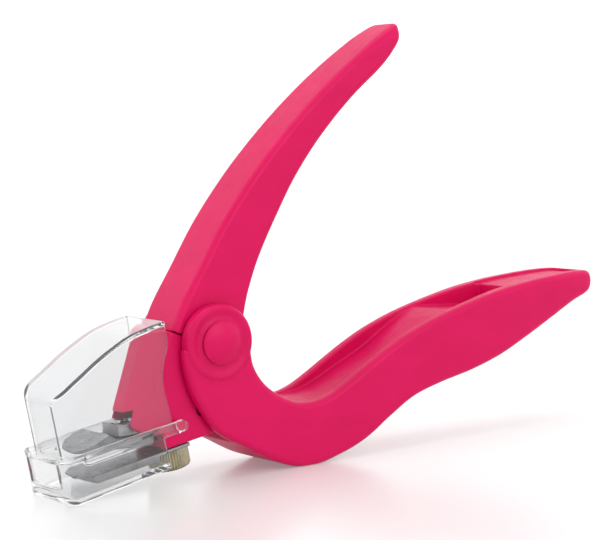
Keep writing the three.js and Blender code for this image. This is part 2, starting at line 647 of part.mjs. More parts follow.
function makeBladeCarrier() {
  const [fx, fz] = followerSeat();
  const length = Math.hypot(fx, fz);
  const [ux, uz] = [fx / length, fz / length];
  const armCorner = (along, side) => [ux * along - uz * side, uz * along + ux * side];
  const armEnd = length + CARRIER_ARM_OUTSIDE;
  const beamFoot = BLADE_THICKNESS + FIT_GAP - CARRIER_PIVOT_HEIGHT;
  const beamTop = beamFoot + BEAM_HEIGHT;
  const neckFoot = FLOOR_THICKNESS + RUN_GAP - CARRIER_PIVOT_HEIGHT;
  const body = joined(
    crossBar(0, 0, CARRIER_BOSS_RADIUS, CARRIER_BOSS_NEAR_Y, CARRIER_HALF_WIDTH),
    sidePlate([
      armCorner(0, -CARRIER_ARM_INSIDE), armCorner(armEnd, -CARRIER_ARM_INSIDE),
      armCorner(armEnd, CARRIER_ARM_OUTSIDE), armCorner(0, CARRIER_ARM_OUTSIDE),
    ], CARRIER_ARM_NEAR_Y, CARRIER_ARM_NEAR_Y + CARRIER_ARM_THICKNESS),
    sidePlate([
      [0, beamFoot + CARRIER_ARM_INSIDE], [0, CARRIER_BOSS_RADIUS], [-BLADE_REAR_REACH, beamTop],
      [-BEAM_REACH, beamTop], [-BEAM_REACH, beamFoot], [-BLADE_REAR_REACH, beamFoot],
      [-BLADE_REAR_REACH, neckFoot],
    ], CARRIER_BOSS_NEAR_Y, CARRIER_HALF_WIDTH),
    box(-BEAM_REACH, -BLADE_REAR_REACH, -CARRIER_HALF_WIDTH, CARRIER_HALF_WIDTH, beamFoot, beamTop),
  );
  return pinned(body,
    crossBar(0, 0, CARRIER_PIN_RADIUS + FIT_GAP, -CUT_OVERRUN, CUT_OVERRUN),
    crossBar(fx, fz, FOLLOWER_SHANK_RADIUS + FIT_GAP, -CUT_OVERRUN, CUT_OVERRUN),
    ...bladeScrewReaches().map((reach) => uprightBar(-reach, 0, BLADE_SCREW_RADIUS + FIT_GAP,
      beamFoot - CUT_OVERRUN, beamTop + CUT_OVERRUN)));
}

function bladeScrewReaches() {
  return [BLADE_SCREW_FIRST_REACH, BLADE_SCREW_FIRST_REACH + BLADE_SCREW_PITCH];
}

function makeFollowerPin() {
  const [fx, fz] = followerSeat();
  return geometryOf(joined(
    crossBar(fx, fz, FOLLOWER_RADIUS, CAM_NEAR_Y, CARRIER_ARM_NEAR_Y - FIT_GAP),
    crossBar(fx, fz, FOLLOWER_SHANK_RADIUS, CAM_NEAR_Y, CARRIER_ARM_NEAR_Y + CARRIER_ARM_THICKNESS),
  ));
}

function makeUpperBlade() {
  const foot = -CARRIER_PIVOT_HEIGHT;
  const profile = sidePlate([
    [-BLADE_REACH, foot], [-BLADE_REAR_REACH, foot], [-BLADE_REAR_REACH, foot + BLADE_THICKNESS],
    [-BLADE_HEEL_REACH, foot + BLADE_THICKNESS], [-BLADE_HUMP_REACH, foot + BLADE_HUMP_HEIGHT],
    [-BLADE_REACH, foot + BLADE_TIP_LAND],
  ], -BLADE_HALF_WIDTH, BLADE_HALF_WIDTH);
  const plan = planPlate(cornered(-BLADE_REACH, -BLADE_REAR_REACH, BLADE_HALF_WIDTH, BLADE_CORNER),
    foot - CUT_OVERRUN, foot + CUT_OVERRUN);
  const blade = solidOf(profile).intersect(solidOf(plan));
  return pinned(blade, ...bladeScrewReaches().map((reach) => uprightBar(-reach, 0,
    BLADE_SCREW_RADIUS + FIT_GAP, foot - CUT_OVERRUN, foot + CUT_OVERRUN)));
}

// A plan outline with its two front corners cut at an angle.
function cornered(front, rear, halfWidth, corner) {
  return [
    [front, corner - halfWidth], [front + corner, -halfWidth], [rear, -halfWidth],
    [rear, halfWidth], [front + corner, halfWidth], [front, halfWidth - corner],
  ];
}

function makeBladeScrew(reach) {
  const beamTop = BLADE_THICKNESS + FIT_GAP - CARRIER_PIVOT_HEIGHT + BEAM_HEIGHT;
  return geometryOf(joined(
    uprightBar(-reach, 0, BLADE_SCREW_RADIUS, FIT_GAP - CARRIER_PIVOT_HEIGHT, beamTop + 2 * FIT_GAP),
    uprightBar(-reach, 0, BLADE_SCREW_HEAD_RADIUS, beamTop + FIT_GAP,
      beamTop + FIT_GAP + BLADE_SCREW_HEAD_HEIGHT),
  ));
}

const anvilTop = headFoot - FIT_GAP;
const anvilFoot = anvilTop - ANVIL_THICKNESS;
const tongueFoot = anvilTop - TONGUE_THICKNESS;

// The lower blade is thick at the jaws, with a thin tongue under the head for the knob to clamp.
function makeLowerBlade() {
  const profile = sidePlate([
    [-anvilReach, anvilTop], [-anvilReach, anvilTop - ANVIL_BEVEL_LAND],
    [ANVIL_BEVEL_LENGTH - anvilReach, anvilFoot], [TONGUE_FRONT_X, anvilFoot],
    [TONGUE_FRONT_X, tongueFoot], [ANVIL_REAR_X, tongueFoot], [ANVIL_REAR_X, anvilTop],
  ], -ANVIL_HALF_WIDTH, ANVIL_HALF_WIDTH);
  const plan = planPlate(cornered(-anvilReach, ANVIL_REAR_X, ANVIL_HALF_WIDTH, BLADE_CORNER),
    anvilFoot - CUT_OVERRUN, anvilTop + CUT_OVERRUN);
  const holes = dowelSpots().map(([x, y]) => uprightBar(x, y, DOWEL_RADIUS + FIT_GAP,
    anvilFoot - CUT_OVERRUN, anvilTop + CUT_OVERRUN));
  return pinned(solidOf(profile).intersect(solidOf(plan)), ...holes,
    uprightBar(SCREW_X, 0, STUD_RADIUS + FIT_GAP, anvilFoot - CUT_OVERRUN, anvilTop + CUT_OVERRUN));
}

function dowelSpots() {
  return bothSides((side) => [DOWEL_X, side * dowelHalfPitch]);
}

// Knurled knob with a plain stud up through the lower blade into the threaded insert.
function makeThumbscrew() {
  const ridges = [];
  for (let k = 0; k < 2 * KNURL_COUNT; k += 1) {
    const angle = (Math.PI * k) / KNURL_COUNT;
    const radius = k % 2 ? KNOB_RADIUS - KNURL_DEPTH : KNOB_RADIUS;
    ridges.push([radius * Math.cos(angle), radius * Math.sin(angle)]);
  }
  const envelope = new THREE.LatheGeometry([
    new THREE.Vector2(0, -KNOB_HEIGHT),
    new THREE.Vector2(KNOB_RADIUS - KNOB_ROUND, -KNOB_HEIGHT),
    new THREE.Vector2(KNOB_RADIUS + KNURL_DEPTH, KNOB_ROUND - KNOB_HEIGHT),
    new THREE.Vector2(KNOB_RADIUS + KNURL_DEPTH, 0),
    new THREE.Vector2(0, 0),
  ], FINE_SEGMENTS).rotateX(Math.PI / 2);
  const knob = solidOf(planPlate(ridges, -KNOB_HEIGHT, 0)).intersect(solidOf(envelope));
  const studTop = TONGUE_THICKNESS + FLOOR_THICKNESS;
  return geometryOf(knob.add(solidOf(uprightBar(0, 0, STUD_RADIUS, -KNOB_ROUND, studTop))));
}

function makeInsert() {
  const top = headFoot + FLOOR_THICKNESS;
  return pinned(solidOf(uprightBar(SCREW_X, 0, INSERT_RADIUS, headFoot, top)),
    uprightBar(SCREW_X, 0, STUD_RADIUS + FIT_GAP, headFoot - CUT_OVERRUN, top + CUT_OVERRUN));
}

// A torsion spring round the Y axis: a straight leg, the coils, and a straight leg.
class TorsionWire extends THREE.Curve {
  constructor(radius, pitch, turns, legs, startAngle, yStart) {
    super();
    Object.assign(this, { radius, pitch, turns, startAngle, yStart });
    [this.leg, this.endLeg] = legs;
    this.coilLength = turns * Math.hypot(2 * Math.PI * radius, pitch);
    this.fullLength = this.coilLength + this.leg + this.endLeg;
  }

  onCoil(turn) {
    const angle = this.startAngle + turn * 2 * Math.PI;
    return new THREE.Vector3(this.radius * Math.cos(angle), this.yStart + this.pitch * turn,
      this.radius * Math.sin(angle));
  }

  coilHeading(turn) {
    const angle = this.startAngle + turn * 2 * Math.PI;
    return new THREE.Vector3(-Math.sin(angle), 0, Math.cos(angle));
  }

  getPoint(t, target = new THREE.Vector3()) {
    const run = t * this.fullLength;
    if (run < this.leg) {
      return target.copy(this.onCoil(0)).addScaledVector(this.coilHeading(0), run - this.leg);
    }
    if (run > this.leg + this.coilLength) {
      const past = run - this.leg - this.coilLength;
      return target.copy(this.onCoil(this.turns)).addScaledVector(this.coilHeading(this.turns), past);
    }
    return target.copy(this.onCoil(((run - this.leg) / this.coilLength) * this.turns));
  }
}

function wireAlong(curve, wire) {
  const section = new THREE.Shape();
  for (let k = 0; k < WIRE_SIDES; k += 1) {
    const angle = (2 * Math.PI * k) / WIRE_SIDES;
    const place = [(wire / 2) * Math.cos(angle), (wire / 2) * Math.sin(angle)];
    if (k === 0) section.moveTo(...place);
    else section.lineTo(...place);
  }
  section.closePath();
  const stepLength = curve.coilLength / (curve.turns * COIL_STEPS_PER_TURN);
  const steps = Math.round(curve.fullLength / stepLength);
  return new THREE.ExtrudeGeometry(section, { steps, extrudePath: curve, curveSegments: 1 });
}

// Least clear distance between two stretches of wire more than a quarter turn apart.
function selfGap(curve, wire) {
  const samples = curve.getPoints(GAP_SAMPLES_PER_TURN * curve.turns);
  const apart = Math.ceil(samples.length / (4 * curve.turns));
  let least = Infinity;
  samples.forEach((point, index) => {
    samples.slice(index + apart).forEach((other) => {
      least = Math.min(least, point.distanceTo(other) - wire);
    });
  });
  return least;
}

const handleWire = new TorsionWire(HANDLE_SPRING_RADIUS, HANDLE_SPRING_PITCH, HANDLE_SPRING_TURNS,
  [HANDLE_SPRING_MOVING_LEG, HANDLE_SPRING_FIXED_LEG], HANDLE_SPRING_START,
  (SLOT_HALF_WIDTH - HANDLE_SPRING_TURNS * HANDLE_SPRING_PITCH) / 2);
console.log('handle spring self gap, mm', selfGap(handleWire, HANDLE_SPRING_WIRE).toFixed(2));

// The notch in the head's lug that holds the spring's fixed leg.
function springNotch() {
  const start = handleWire.onCoil(0);
  const heading = handleWire.coilHeading(0);
  const half = HANDLE_SPRING_WIRE / 2 + FIT_GAP;
  const reach = HANDLE_SPRING_FIXED_LEG + FIT_GAP;
  const corner = (along, side) => {
    const [dx, dz] = [heading.x * along - heading.z * side, heading.z * along + heading.x * side];
    return [start.x + dx, start.z + dz];
  };
  return sidePlate([corner(0, -half), corner(reach, -half), corner(reach, half), corner(0, half)],
    0, SLOT_HALF_WIDTH).rotateY(HEAD_TILT);
}

// Leaf spring on the head's floor that lifts the blade carrier's beam.
function makeReturnLeaf() {
  const seatZ = headFoot + FLOOR_THICKNESS + FIT_GAP;
  const line = [[LEAF_REAR_X, seatZ]];
  for (let k = 0; k <= LEAF_STEPS; k += 1) {
    const share = k / LEAF_STEPS;
    line.push([LEAF_BEND_X + (LEAF_TIP_X - LEAF_BEND_X) * share, seatZ + LEAF_RISE * share ** LEAF_CURL]);
  }
  const top = shifted(line, -LEAF_THICKNESS);
  return sidePlate([...line, ...top.reverse()], -LEAF_HALF_WIDTH, LEAF_HALF_WIDTH);
}

const coverFootX = coverRearShares.at(-1)[0] * catcherReach;

// Cover: a thin hood with a sloping roof, open at the rear and below.
function hoodBlock(inset) {
  const rear = scaled(coverRearShares, catcherReach, COVER_REAR_DEPTH);
  const roof = shifted(scaled(coverRoofShares, catcherReach, CATCHER_RISE), -inset);
  const open = inset > 0 ? CUT_OVERRUN : 0;
  const front = catcherReach - inset;
  const side = sidePlate([
    ...roof.map(([x, z], index) => (index === 0 ? [-front, z] : [x, z])),
    [roof.at(-1)[0] + open, roof.at(-1)[1]],
    ...rear.map(([x, z]) => [x + open, z]),
    [rear.at(-1)[0] + open, coverFoot - open], [-front, coverFoot - open],
  ], -CUT_OVERRUN, CUT_OVERRUN);
  const plan = planPlate(coverPlan(-inset, CUT_OVERRUN), coverFoot - 2 * CUT_OVERRUN, 2 * CUT_OVERRUN);
  return solidOf(side).intersect(solidOf(plan));
}

// The cover's plan outline, grown by a margin and ending at a given rear place.
function coverPlan(margin, rear) {
  const front = -catcherReach - margin;
  const slope = (COVER_REAR_HALF_WIDTH - COVER_FRONT_HALF_WIDTH) / (catcherReach + coverFootX);
  const halfAt = (x) => COVER_FRONT_HALF_WIDTH + margin + slope * (x + catcherReach);
  return [
    [front, COVER_CORNER - halfAt(front)], [front + COVER_CORNER, -halfAt(front + COVER_CORNER)],
    [coverFootX, -halfAt(coverFootX)], [rear, -halfAt(coverFootX)],
    [rear, halfAt(coverFootX)], [coverFootX, halfAt(coverFootX)],
    [front + COVER_CORNER, halfAt(front + COVER_CORNER)], [front, halfAt(front) - COVER_CORNER],
  ];
}

function makeCatcherCover() {
  return geometryOf(hoodBlock(0).subtract(hoodBlock(CATCHER_WALL)));
}

// Tray: side outline of its foot, which falls toward the front and rises there in a short curve.
function trayFootOutline() {
  const turn = TRAY_FRONT_RISE;
  return [
    ...arcPoints(-trayReach + turn, trayFloor + turn, turn, Math.PI, (3 * Math.PI) / 2, TRAY_RISE_STEPS),
    [TRAY_REAR_X, trayFloor + TRAY_FLOOR_FALL],
  ];
}

// Tray plan with a rounded front.
function trayPlan(inset, rear) {
  const half = TRAY_HALF_WIDTH - inset;
  const length = TRAY_CORNER - inset;
  const front = [];
  for (let k = 0; k <= TRAY_FRONT_STEPS; k += 1) {
    const angle = (Math.PI * k) / TRAY_FRONT_STEPS;
    const across = Math.sign(Math.cos(angle)) * Math.abs(Math.cos(angle)) ** (2 / TRAY_FRONT_SQUARENESS);
    const along = Math.sin(angle) ** (2 / TRAY_FRONT_SQUARENESS);
    front.push([-trayReach + TRAY_CORNER - length * along, half * across]);
  }
  return [[rear, half], ...front, [rear, -half]];
}

function trayBlock(inset, rear, top) {
  const foot = trayFootOutline().map(([x, z]) => [x + inset, z + inset]);
  const side = sidePlate([
    [-trayReach - CUT_OVERRUN, top], [-trayReach - CUT_OVERRUN, foot[0][1]], ...foot,
    [rear + CUT_OVERRUN, foot.at(-1)[1]], [rear + CUT_OVERRUN, top],
  ], -CUT_OVERRUN, CUT_OVERRUN);
  const plan = planPlate(trayPlan(inset, rear), trayFloor - CUT_OVERRUN, CUT_OVERRUN);
  return solidOf(side).intersect(solidOf(plan));
}

function makeCatcherTray() {
  const hollowTop = trayTop - CATCHER_WALL;
  const shell = trayBlock(0, TRAY_REAR_X, trayTop)
    .subtract(trayBlock(CATCHER_WALL, TRAY_REAR_X + CUT_OVERRUN, hollowTop));
  const coverHole = planPlate(coverPlan(FIT_GAP, CUT_OVERRUN), hollowTop - FIT_GAP, trayTop + CUT_OVERRUN);
  const nailSlot = box(-trayReach - CUT_OVERRUN, -catcherReach, -NAIL_SLOT_HALF_WIDTH,
    NAIL_SLOT_HALF_WIDTH, headFoot - NAIL_SLOT_FOOT_DROP, headFoot + NAIL_SLOT_TOP_HEIGHT);
  const railInside = HEAD_HALF_WIDTH + RUN_GAP;
  const railFoot = trayTop - RAIL_HEIGHT;
  const armInside = COVER_REAR_HALF_WIDTH + FIT_GAP;
  const arms = bothSides((side) => {
    const [low, high] = [armInside, TRAY_HALF_WIDTH + RAIL_PROUD];
    const span = side > 0 ? [low, high] : [-high, -low];
    return box(-catcherReach + TRAY_CORNER, ARM_REAR_X, ...span, railFoot, trayTop);
  });
  const hooks = bothSides((side) => {
    const span = side > 0 ? [railInside, TRAY_HALF_WIDTH] : [-TRAY_HALF_WIDTH, -railInside];
    return box(coverFootX + FIT_GAP, ARM_REAR_X, ...span, railFoot, trayTop);
  });
  const body = [...arms, ...hooks].reduce((sum, tool) => sum.add(solidOf(tool)),
    without(shell, coverHole, nailSlot));
  const grooveTop = headFoot + PIP_HEIGHT + PIP_RADIUS + FIT_GAP;
  const grooveFoot = headFoot + PIP_HEIGHT - PIP_RADIUS - FIT_GAP;
  const grooveDepth = HEAD_HALF_WIDTH + PIP_PROUD + FIT_GAP;
  const groove = box(PIP_X - PIP_RADIUS - FIT_GAP, CUT_OVERRUN, -grooveDepth, grooveDepth,
    grooveFoot, grooveTop);
  return pinned(body, groove);
}

// Assembly
const upright = new THREE.Group();
const head = new THREE.Group();
head.rotation.y = -HEAD_TILT;
const carrier = new THREE.Group();
carrier.position.set(CARRIER_PIVOT_X, 0, carrierPivotZ);
carrier.rotation.y = ROCK_ANGLE;
head.add(carrier);
upright.add(head);

function place(parent, name, geometry, material, position = [0, 0, 0]) {
  const mesh = new THREE.Mesh(geometry, material);
  mesh.name = name;
  mesh.position.set(...position);
  parent.add(mesh);
}

const sideNames = [['near', -1], ['far', 1]];

place(upright, 'upper_handle', makeUpperHandle(), plastic());
place(upright, 'lower_handle', makeLowerHandle(), plastic());
place(upright, 'cam_plate', makeCamPlate(), steel());
place(upright, 'pivot_pin', crossBar(0, 0, PIN_RADIUS, -bossFace, bossFace), steel());
place(upright, 'cam_bush', ringAlongY(boreRadius, boreRadius + BUSH_WALL, -SLOT_HALF_WIDTH + FIT_GAP,
  SLOT_HALF_WIDTH - FIT_GAP), brass());
place(upright, 'handle_spring', wireAlong(handleWire, HANDLE_SPRING_WIRE), steel());
sideNames.forEach(([name, side]) => {
  place(upright, `pivot_cap_${name}`, pivotCapOn(side), plastic());
  place(upright, `pivot_washer_${name}`, washerOn(side), steel());
});
camRivetShares.forEach((share, index) => {
  const rivet = crossBar(...armPoint(share), CAM_RIVET_RADIUS, -CAM_RIVET_HALF_LENGTH,
    CAM_RIVET_HALF_LENGTH);
  place(upright, `cam_rivet_${index + 1}`, rivet, steel());
});

place(head, 'head_housing', makeHeadHousing(), plastic());
place(head, 'lower_blade', makeLowerBlade(), steel());
place(head, 'thumbscrew', makeThumbscrew(), brass(), [SCREW_X, 0, tongueFoot - FIT_GAP]);
place(head, 'threaded_insert', makeInsert(), brass());
place(head, 'catcher_cover', makeCatcherCover(), clearPlastic());
place(head, 'catcher_tray', makeCatcherTray(), clearPlastic());
const carrierPin = crossBar(CARRIER_PIVOT_X, carrierPivotZ, CARRIER_PIN_RADIUS,
  -HEAD_HALF_WIDTH, HEAD_HALF_WIDTH - CARRIER_PIN_COVER - FIT_GAP);
place(head, 'carrier_pin', carrierPin, steel());
place(head, 'return_leaf', makeReturnLeaf(), steel());
sideNames.forEach(([name, side]) => {
  const dowel = uprightBar(DOWEL_X, side * dowelHalfPitch, DOWEL_RADIUS, tongueFoot,
    headFoot + DOWEL_RISE);
  place(head, `blade_dowel_${name}`, dowel, steel());
});

place(carrier, 'blade_carrier', makeBladeCarrier(), steel());
place(carrier, 'cam_follower_pin', makeFollowerPin(), steel());
place(carrier, 'upper_blade', makeUpperBlade(), steel());
bladeScrewReaches().forEach((reach, index) => {
  place(carrier, `blade_screw_${index + 1}`, makeBladeScrew(reach), steel());
});

// The origin goes to the middle of the footprint, on the surface that the object rests on.
const bounds = new THREE.Box3().setFromObject(upright, true);
const middle = bounds.getCenter(new THREE.Vector3());
upright.position.set(-middle.x, -middle.y, -bounds.min.z);
const clipper = new THREE.Group();
clipper.add(upright);
clipper.updateMatrixWorld(true);

export default clipper;
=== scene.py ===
"""Scissor nail clipper in pink plastic, with a clear catcher. Lengths are mm until a mesh is made."""
import json
import math

import bpy
import numpy as np
from mathutils import Matrix, Vector


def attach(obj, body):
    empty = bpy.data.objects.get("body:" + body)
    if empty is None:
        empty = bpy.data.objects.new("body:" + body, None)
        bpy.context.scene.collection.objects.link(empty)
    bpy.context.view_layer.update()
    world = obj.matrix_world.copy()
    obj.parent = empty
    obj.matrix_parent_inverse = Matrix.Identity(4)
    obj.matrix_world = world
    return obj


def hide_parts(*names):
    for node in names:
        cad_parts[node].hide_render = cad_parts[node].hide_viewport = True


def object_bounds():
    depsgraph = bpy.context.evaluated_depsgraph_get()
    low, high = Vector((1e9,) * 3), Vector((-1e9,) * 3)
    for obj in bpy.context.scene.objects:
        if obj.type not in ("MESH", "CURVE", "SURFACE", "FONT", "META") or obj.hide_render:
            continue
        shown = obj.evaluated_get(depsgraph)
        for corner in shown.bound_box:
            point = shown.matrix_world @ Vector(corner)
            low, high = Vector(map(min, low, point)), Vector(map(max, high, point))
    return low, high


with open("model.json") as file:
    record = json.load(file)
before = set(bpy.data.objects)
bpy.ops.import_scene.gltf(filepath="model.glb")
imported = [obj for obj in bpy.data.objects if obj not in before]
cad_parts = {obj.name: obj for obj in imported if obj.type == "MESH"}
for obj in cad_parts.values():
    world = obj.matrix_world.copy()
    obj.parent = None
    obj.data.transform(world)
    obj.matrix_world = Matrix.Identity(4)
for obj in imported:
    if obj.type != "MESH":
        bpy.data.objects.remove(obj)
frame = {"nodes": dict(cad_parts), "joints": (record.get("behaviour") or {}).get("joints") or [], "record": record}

cad_low, cad_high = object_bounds()

MM = 0.001

# Places from the frame: the pivot, and how far the head tips forward.
joints = {joint["name"]: joint for joint in frame["joints"]}
pull_axis = joints["catcher_pull"]["axis"]
HEAD_TILT = math.atan2(-pull_axis[2], -pull_axis[0])
ROCK_ANGLE = math.radians(joints["blade_rock"]["range_deg"][1])


def joint_place(name):
    return np.array(joints[name]["pos_m"]) / MM


# A place frame is an origin and a turn about Y: the handles stand upright and the head is tipped.
UPRIGHT = (joint_place("handle_squeeze"), 0.0)
HEAD = (joint_place("handle_squeeze"), HEAD_TILT)
CARRIER = (joint_place("blade_rock"), HEAD_TILT - ROCK_ANGLE)
KNOB = (joint_place("knob_turn"), HEAD_TILT)

# Clearances, a length that reaches past everything, and rounds that several pieces share
GAP = 0.3
RUN_GAP = 0.4
FAR = 60.0
BORE_ROUND = 0.15
LUG_ROUND = 0.2

# Upper handle
UPPER_REACH, UPPER_RISE = 61.0, 73.4
UPPER_HALF_WIDTH = 7.5
UPPER_ROUND, TIP_ROUND = 1.5, 2.2
UPPER_TIP_LEAN, UPPER_TIP_END, UPPER_TIP_CORNER = math.radians(36), 93.1, 5.2
upper_outer_shares = [
    (-0.18, 0.02), (-0.154, 0.076), (-0.115, 0.136), (-0.036, 0.232), (0.082, 0.376), (0.239, 0.529),
    (0.423, 0.678), (0.628, 0.817), (0.833, 0.933), (0.943, 0.984), (1, 1),
]
upper_inner_shares = [
    (0.144, 0.027), (0.161, 0.093), (0.185, 0.157), (0.236, 0.253), (0.321, 0.373), (0.426, 0.504),
    (0.557, 0.629), (0.715, 0.749), (0.862, 0.84), (0.934, 0.896), (0.987, 0.948),
]
upper_width_shares = [1, 1, 1, 1, 0.99, 0.98, 0.96, 0.93, 0.89, 0.84, 0.76]

# Lower handle
LOWER_REACH, LOWER_DROP = 121.4, 33.0
LOWER_HALF_WIDTH = 10.6
LOWER_ROUND, BELLY_ROUND, CHEEK_ROUND = 1.5, 0.3, 0.35
lower_inner_shares = [
    (0.073, -0.03), (0.0765, -0.17), (0.09, -0.278), (0.112, -0.37), (0.144, -0.45), (0.181, -0.508),
    (0.222, -0.516), (0.264, -0.478), (0.309, -0.398), (0.362, -0.29), (0.412, -0.194), (0.47, -0.1),
    (0.544, -0.01), (0.626, 0.065), (0.708, 0.127), (0.791, 0.167), (0.873, 0.191), (0.931, 0.2),
    (0.972, 0.198), (1, 0.188),
]
lower_outer_shares = [
    (-0.077, -0.03), (-0.0735, -0.185), (-0.061, -0.34), (-0.041, -0.481), (-0.0065, -0.645),
    (0.062, -0.79), (0.128, -0.921), (0.198, -0.99), (0.272, -0.944), (0.342, -0.855),
    (0.408, -0.713), (0.47, -0.593), (0.544, -0.519), (0.626, -0.46), (0.708, -0.377), (0.791, -0.256),
    (0.873, -0.127), (0.931, -0.038), (0.969, 0.006), (0.998, 0.05),
]
lower_width_shares = [
    1, 1, 1, 1, 1, 1, 1, 1, 1, 1, 1, 1, 1, 0.995, 0.97, 0.93, 0.87, 0.81, 0.76, 0.69,
]
CHEEK_INSIDE = 7.9
BOSS_RADIUS, BOSS_FACE, BOSS_ROUND, BOSS_FILLET = 8.9, 11.2, 1.1, 0.25
BOSS_DISH_RADIUS, BOSS_DISH_WIDTH, BOSS_DISH_DEPTH = 6.3, 1.0, 0.4
WEB_TOP_DEPTH, WEB_REACH = 11.0, 22.0
WASHER_SEAT_RADIUS, WASHER_SEAT_FACE = 6.7, 8.6

# Thumb channel: a floor that rises to a ridge, a level shelf, and a shallow panel on to the tip
CHANNEL_HALF_WIDTH, CHANNEL_END_HALF_WIDTH = 7.5, 6.0
CHANNEL_END, CHANNEL_DEPTH = 92.3, 18.0
SHELF_END_DEPTH = 0.9
CHANNEL_ROUND = 0.5
PANEL_DEPTH, PANEL_RIM, PANEL_OVERLAP, PANEL_TIP_MARGIN = 0.7, 1.7, 2.0, 3.0
PANEL_ROUND, PANEL_EDGE = 0.3, 0.25
channel_floor_shares = [
    (0.16, -0.62), (0.193, -0.82), (0.233, -0.935), (0.296, -0.972), (0.373, -0.93), (0.424, -0.84),
    (0.475, -0.72), (0.527, -0.605), (0.58, -0.483), (0.65, -0.278), (0.722, -0.078), (0.768, 0.011),
]

# Head
HEAD_REACH, HEAD_DEPTH, HEAD_HALF_WIDTH = 24.3, 21.0, 7.5
HEAD_ROUND, NOSE_ROUND = 0.7, 0.5
NOSE_FOOT_HEIGHT = 8.0
head_foot_shares = [(-0.737, 0), (-0.737, 0.525), (-0.94, 0.71), (-0.985, 0.875), (-1, 1)]
head_front_shares = [(-0.997, -0.49), (-0.642, 0.233), (-0.605, 0.271), (-0.465, 0.276)]
SLIT_FOOT = (-7.3, 3.3)
HEAD_REAR_TOP = (7.6, 3.3)
HEAD_REAR_MID = (8.2, -5.2)
HEAD_HEEL_X = 1.2
NOSE_RIDGE_HALF_WIDTH = 2.4
nose_shoulder_shares = [(-0.499, 0.1), (-0.901, -0.72)]
SLOT_HALF_WIDTH, SLOT_ROUND, SLOT_EDGE, FLOOR_THICKNESS = 4.1, 0.4, 0.2, 2.5
slot_places = [(-27.6, -11.1), (-17.4, -9.8), (-17.4, -4.5), (-14.8, 2.0)]
LUG_RADIUS, LUG_HALF_WIDTH, LUG_RIM, TINE_RADIUS, BORE_RADIUS = 6.6, 5.3, 0.6, 7.5, 2.5
PIP_PLACE, PIP_RADIUS, PIP_PROUD = (-14.0, -15.8), 1.2, 1.2
PIP_ROUND, PIP_FILLET = 0.3, 0.15
CARRIER_PIN_PLACE, CARRIER_BORE_RADIUS, CARRIER_BORE_END = (-6.0, -14.5), 1.7, 5.5
SCREW_X, INSERT_BORE_RADIUS = -13.4, 3.2
DOWEL_X, DOWEL_Y, DOWEL_BORE_RADIUS, DOWEL_BORE_DEPTH = -16.0, 4.6, 1.2, 1.9

# Pivot cap
CAP_RADIUS, CAP_HEIGHT, CAP_RIM, CAP_EDGE = 5.1, 1.6, 0.35, 0.15
cap_rim_share, cap_crown_share = 0.8, 0.97

# Blades, in the carrier's and the head's frames
BLADE_REACH, BLADE_REAR, BLADE_HALF_WIDTH, BLADE_FOOT = 32.2, 13.2, 6.3, -6.5
BLADE_THICKNESS, BLADE_TIP_LAND, BLADE_CORNER, BLADE_ROUND = 2.0, 0.45, 2.2, 0.12
BLADE_HUMP = (-24.6, 3.6)
BLADE_HEEL_REACH = 22.4
ANVIL_REACH, ANVIL_REAR, ANVIL_HALF_WIDTH, ANVIL_THICKNESS = 38.6, 10.7, 6.6, 1.8
TONGUE_FRONT, TONGUE_THICKNESS = 19.2, 0.8
ANVIL_TOP = -21.3
ANVIL_BEVEL, ANVIL_LAND = 2.6, 0.4

# Thumbscrew
KNOB_RADIUS, KNOB_HEIGHT, KNOB_ROUND = 5.0, 4.9, 0.7
KNOB_FACE_MARGIN, KNOB_CHAMFER = 0.6, 0.3
KNURL_COUNT, KNURL_DEPTH, KNURL_SHARPNESS = 44, 0.32, 1.5
KNURL_FOOT, KNURL_TOP, KNURL_END, KNURL_REACH = 0.4, 0.7, 0.2, 0.45
STUD_RADIUS, STUD_TOP, STUD_CHAMFER = 1.8, 3.3, 0.2

# Nail catcher
CATCHER_REACH, CATCHER_RISE, CATCHER_WALL = 43.3, 7.9, 1.1
COVER_REAR_HALF_WIDTH, COVER_FRONT_HALF_WIDTH, COVER_CORNER = 9.0, 8.8, 3.6
COVER_FOOT, COVER_REAR_DEPTH = -16.4, 14.0
COVER_ROUND, CLEAR_EDGE = 0.45, 0.2
cover_roof_shares = [
    (-1, -0.36), (-0.985, -0.16), (-0.924, 0.05), (-0.827, 0.3), (-0.727, 0.556), (-0.63, 0.76),
    (-0.52, 0.947), (-0.393, 1.04), (-0.286, 1.06),
]
cover_rear_shares = [
    (-0.284, 0.36), (-0.291, 0.2), (-0.333, -0.064), (-0.356, -0.3), (-0.36, -0.586), (-0.353, -0.843),
]
TRAY_REACH, TRAY_REAR, TRAY_HALF_WIDTH = 45.9, 18.9, 10.6
TRAY_TOP, TRAY_FLOOR, TRAY_FLOOR_FALL, TRAY_FRONT_RISE = -14.6, -25.4, 0.8, 2.6
TRAY_CORNER, TRAY_SQUARENESS, TRAY_ROUND = 3.4, 2.4, 0.4
RAIL_HEIGHT, RAIL_PROUD, ARM_REAR, ARM_FILLET, RAIL_END_ROUND = 2.6, 0.6, 12.5, 0.15, 1.2
NAIL_SLOT_HALF_WIDTH, NAIL_SLOT_TOP, NAIL_SLOT_FOOT = 7.0, -15.7, -21.5
NAIL_SLOT_ROUND, NAIL_SLOT_EDGE = 0.3, 0.25

# Handle spring
SPRING_RADIUS, SPRING_PITCH, SPRING_TURNS, SPRING_WIRE = 4.5, 1.4, 2, 0.9
SPRING_START = math.radians(30)
SPRING_MOVING_LEG, SPRING_FIXED_LEG = 14.4, 4.4

# Eased edges of the pieces that keep their CAD meshes
EASED_WIDTH, EASED_SEGMENTS, EASED_ANGLE = 0.12, 2, math.radians(35)

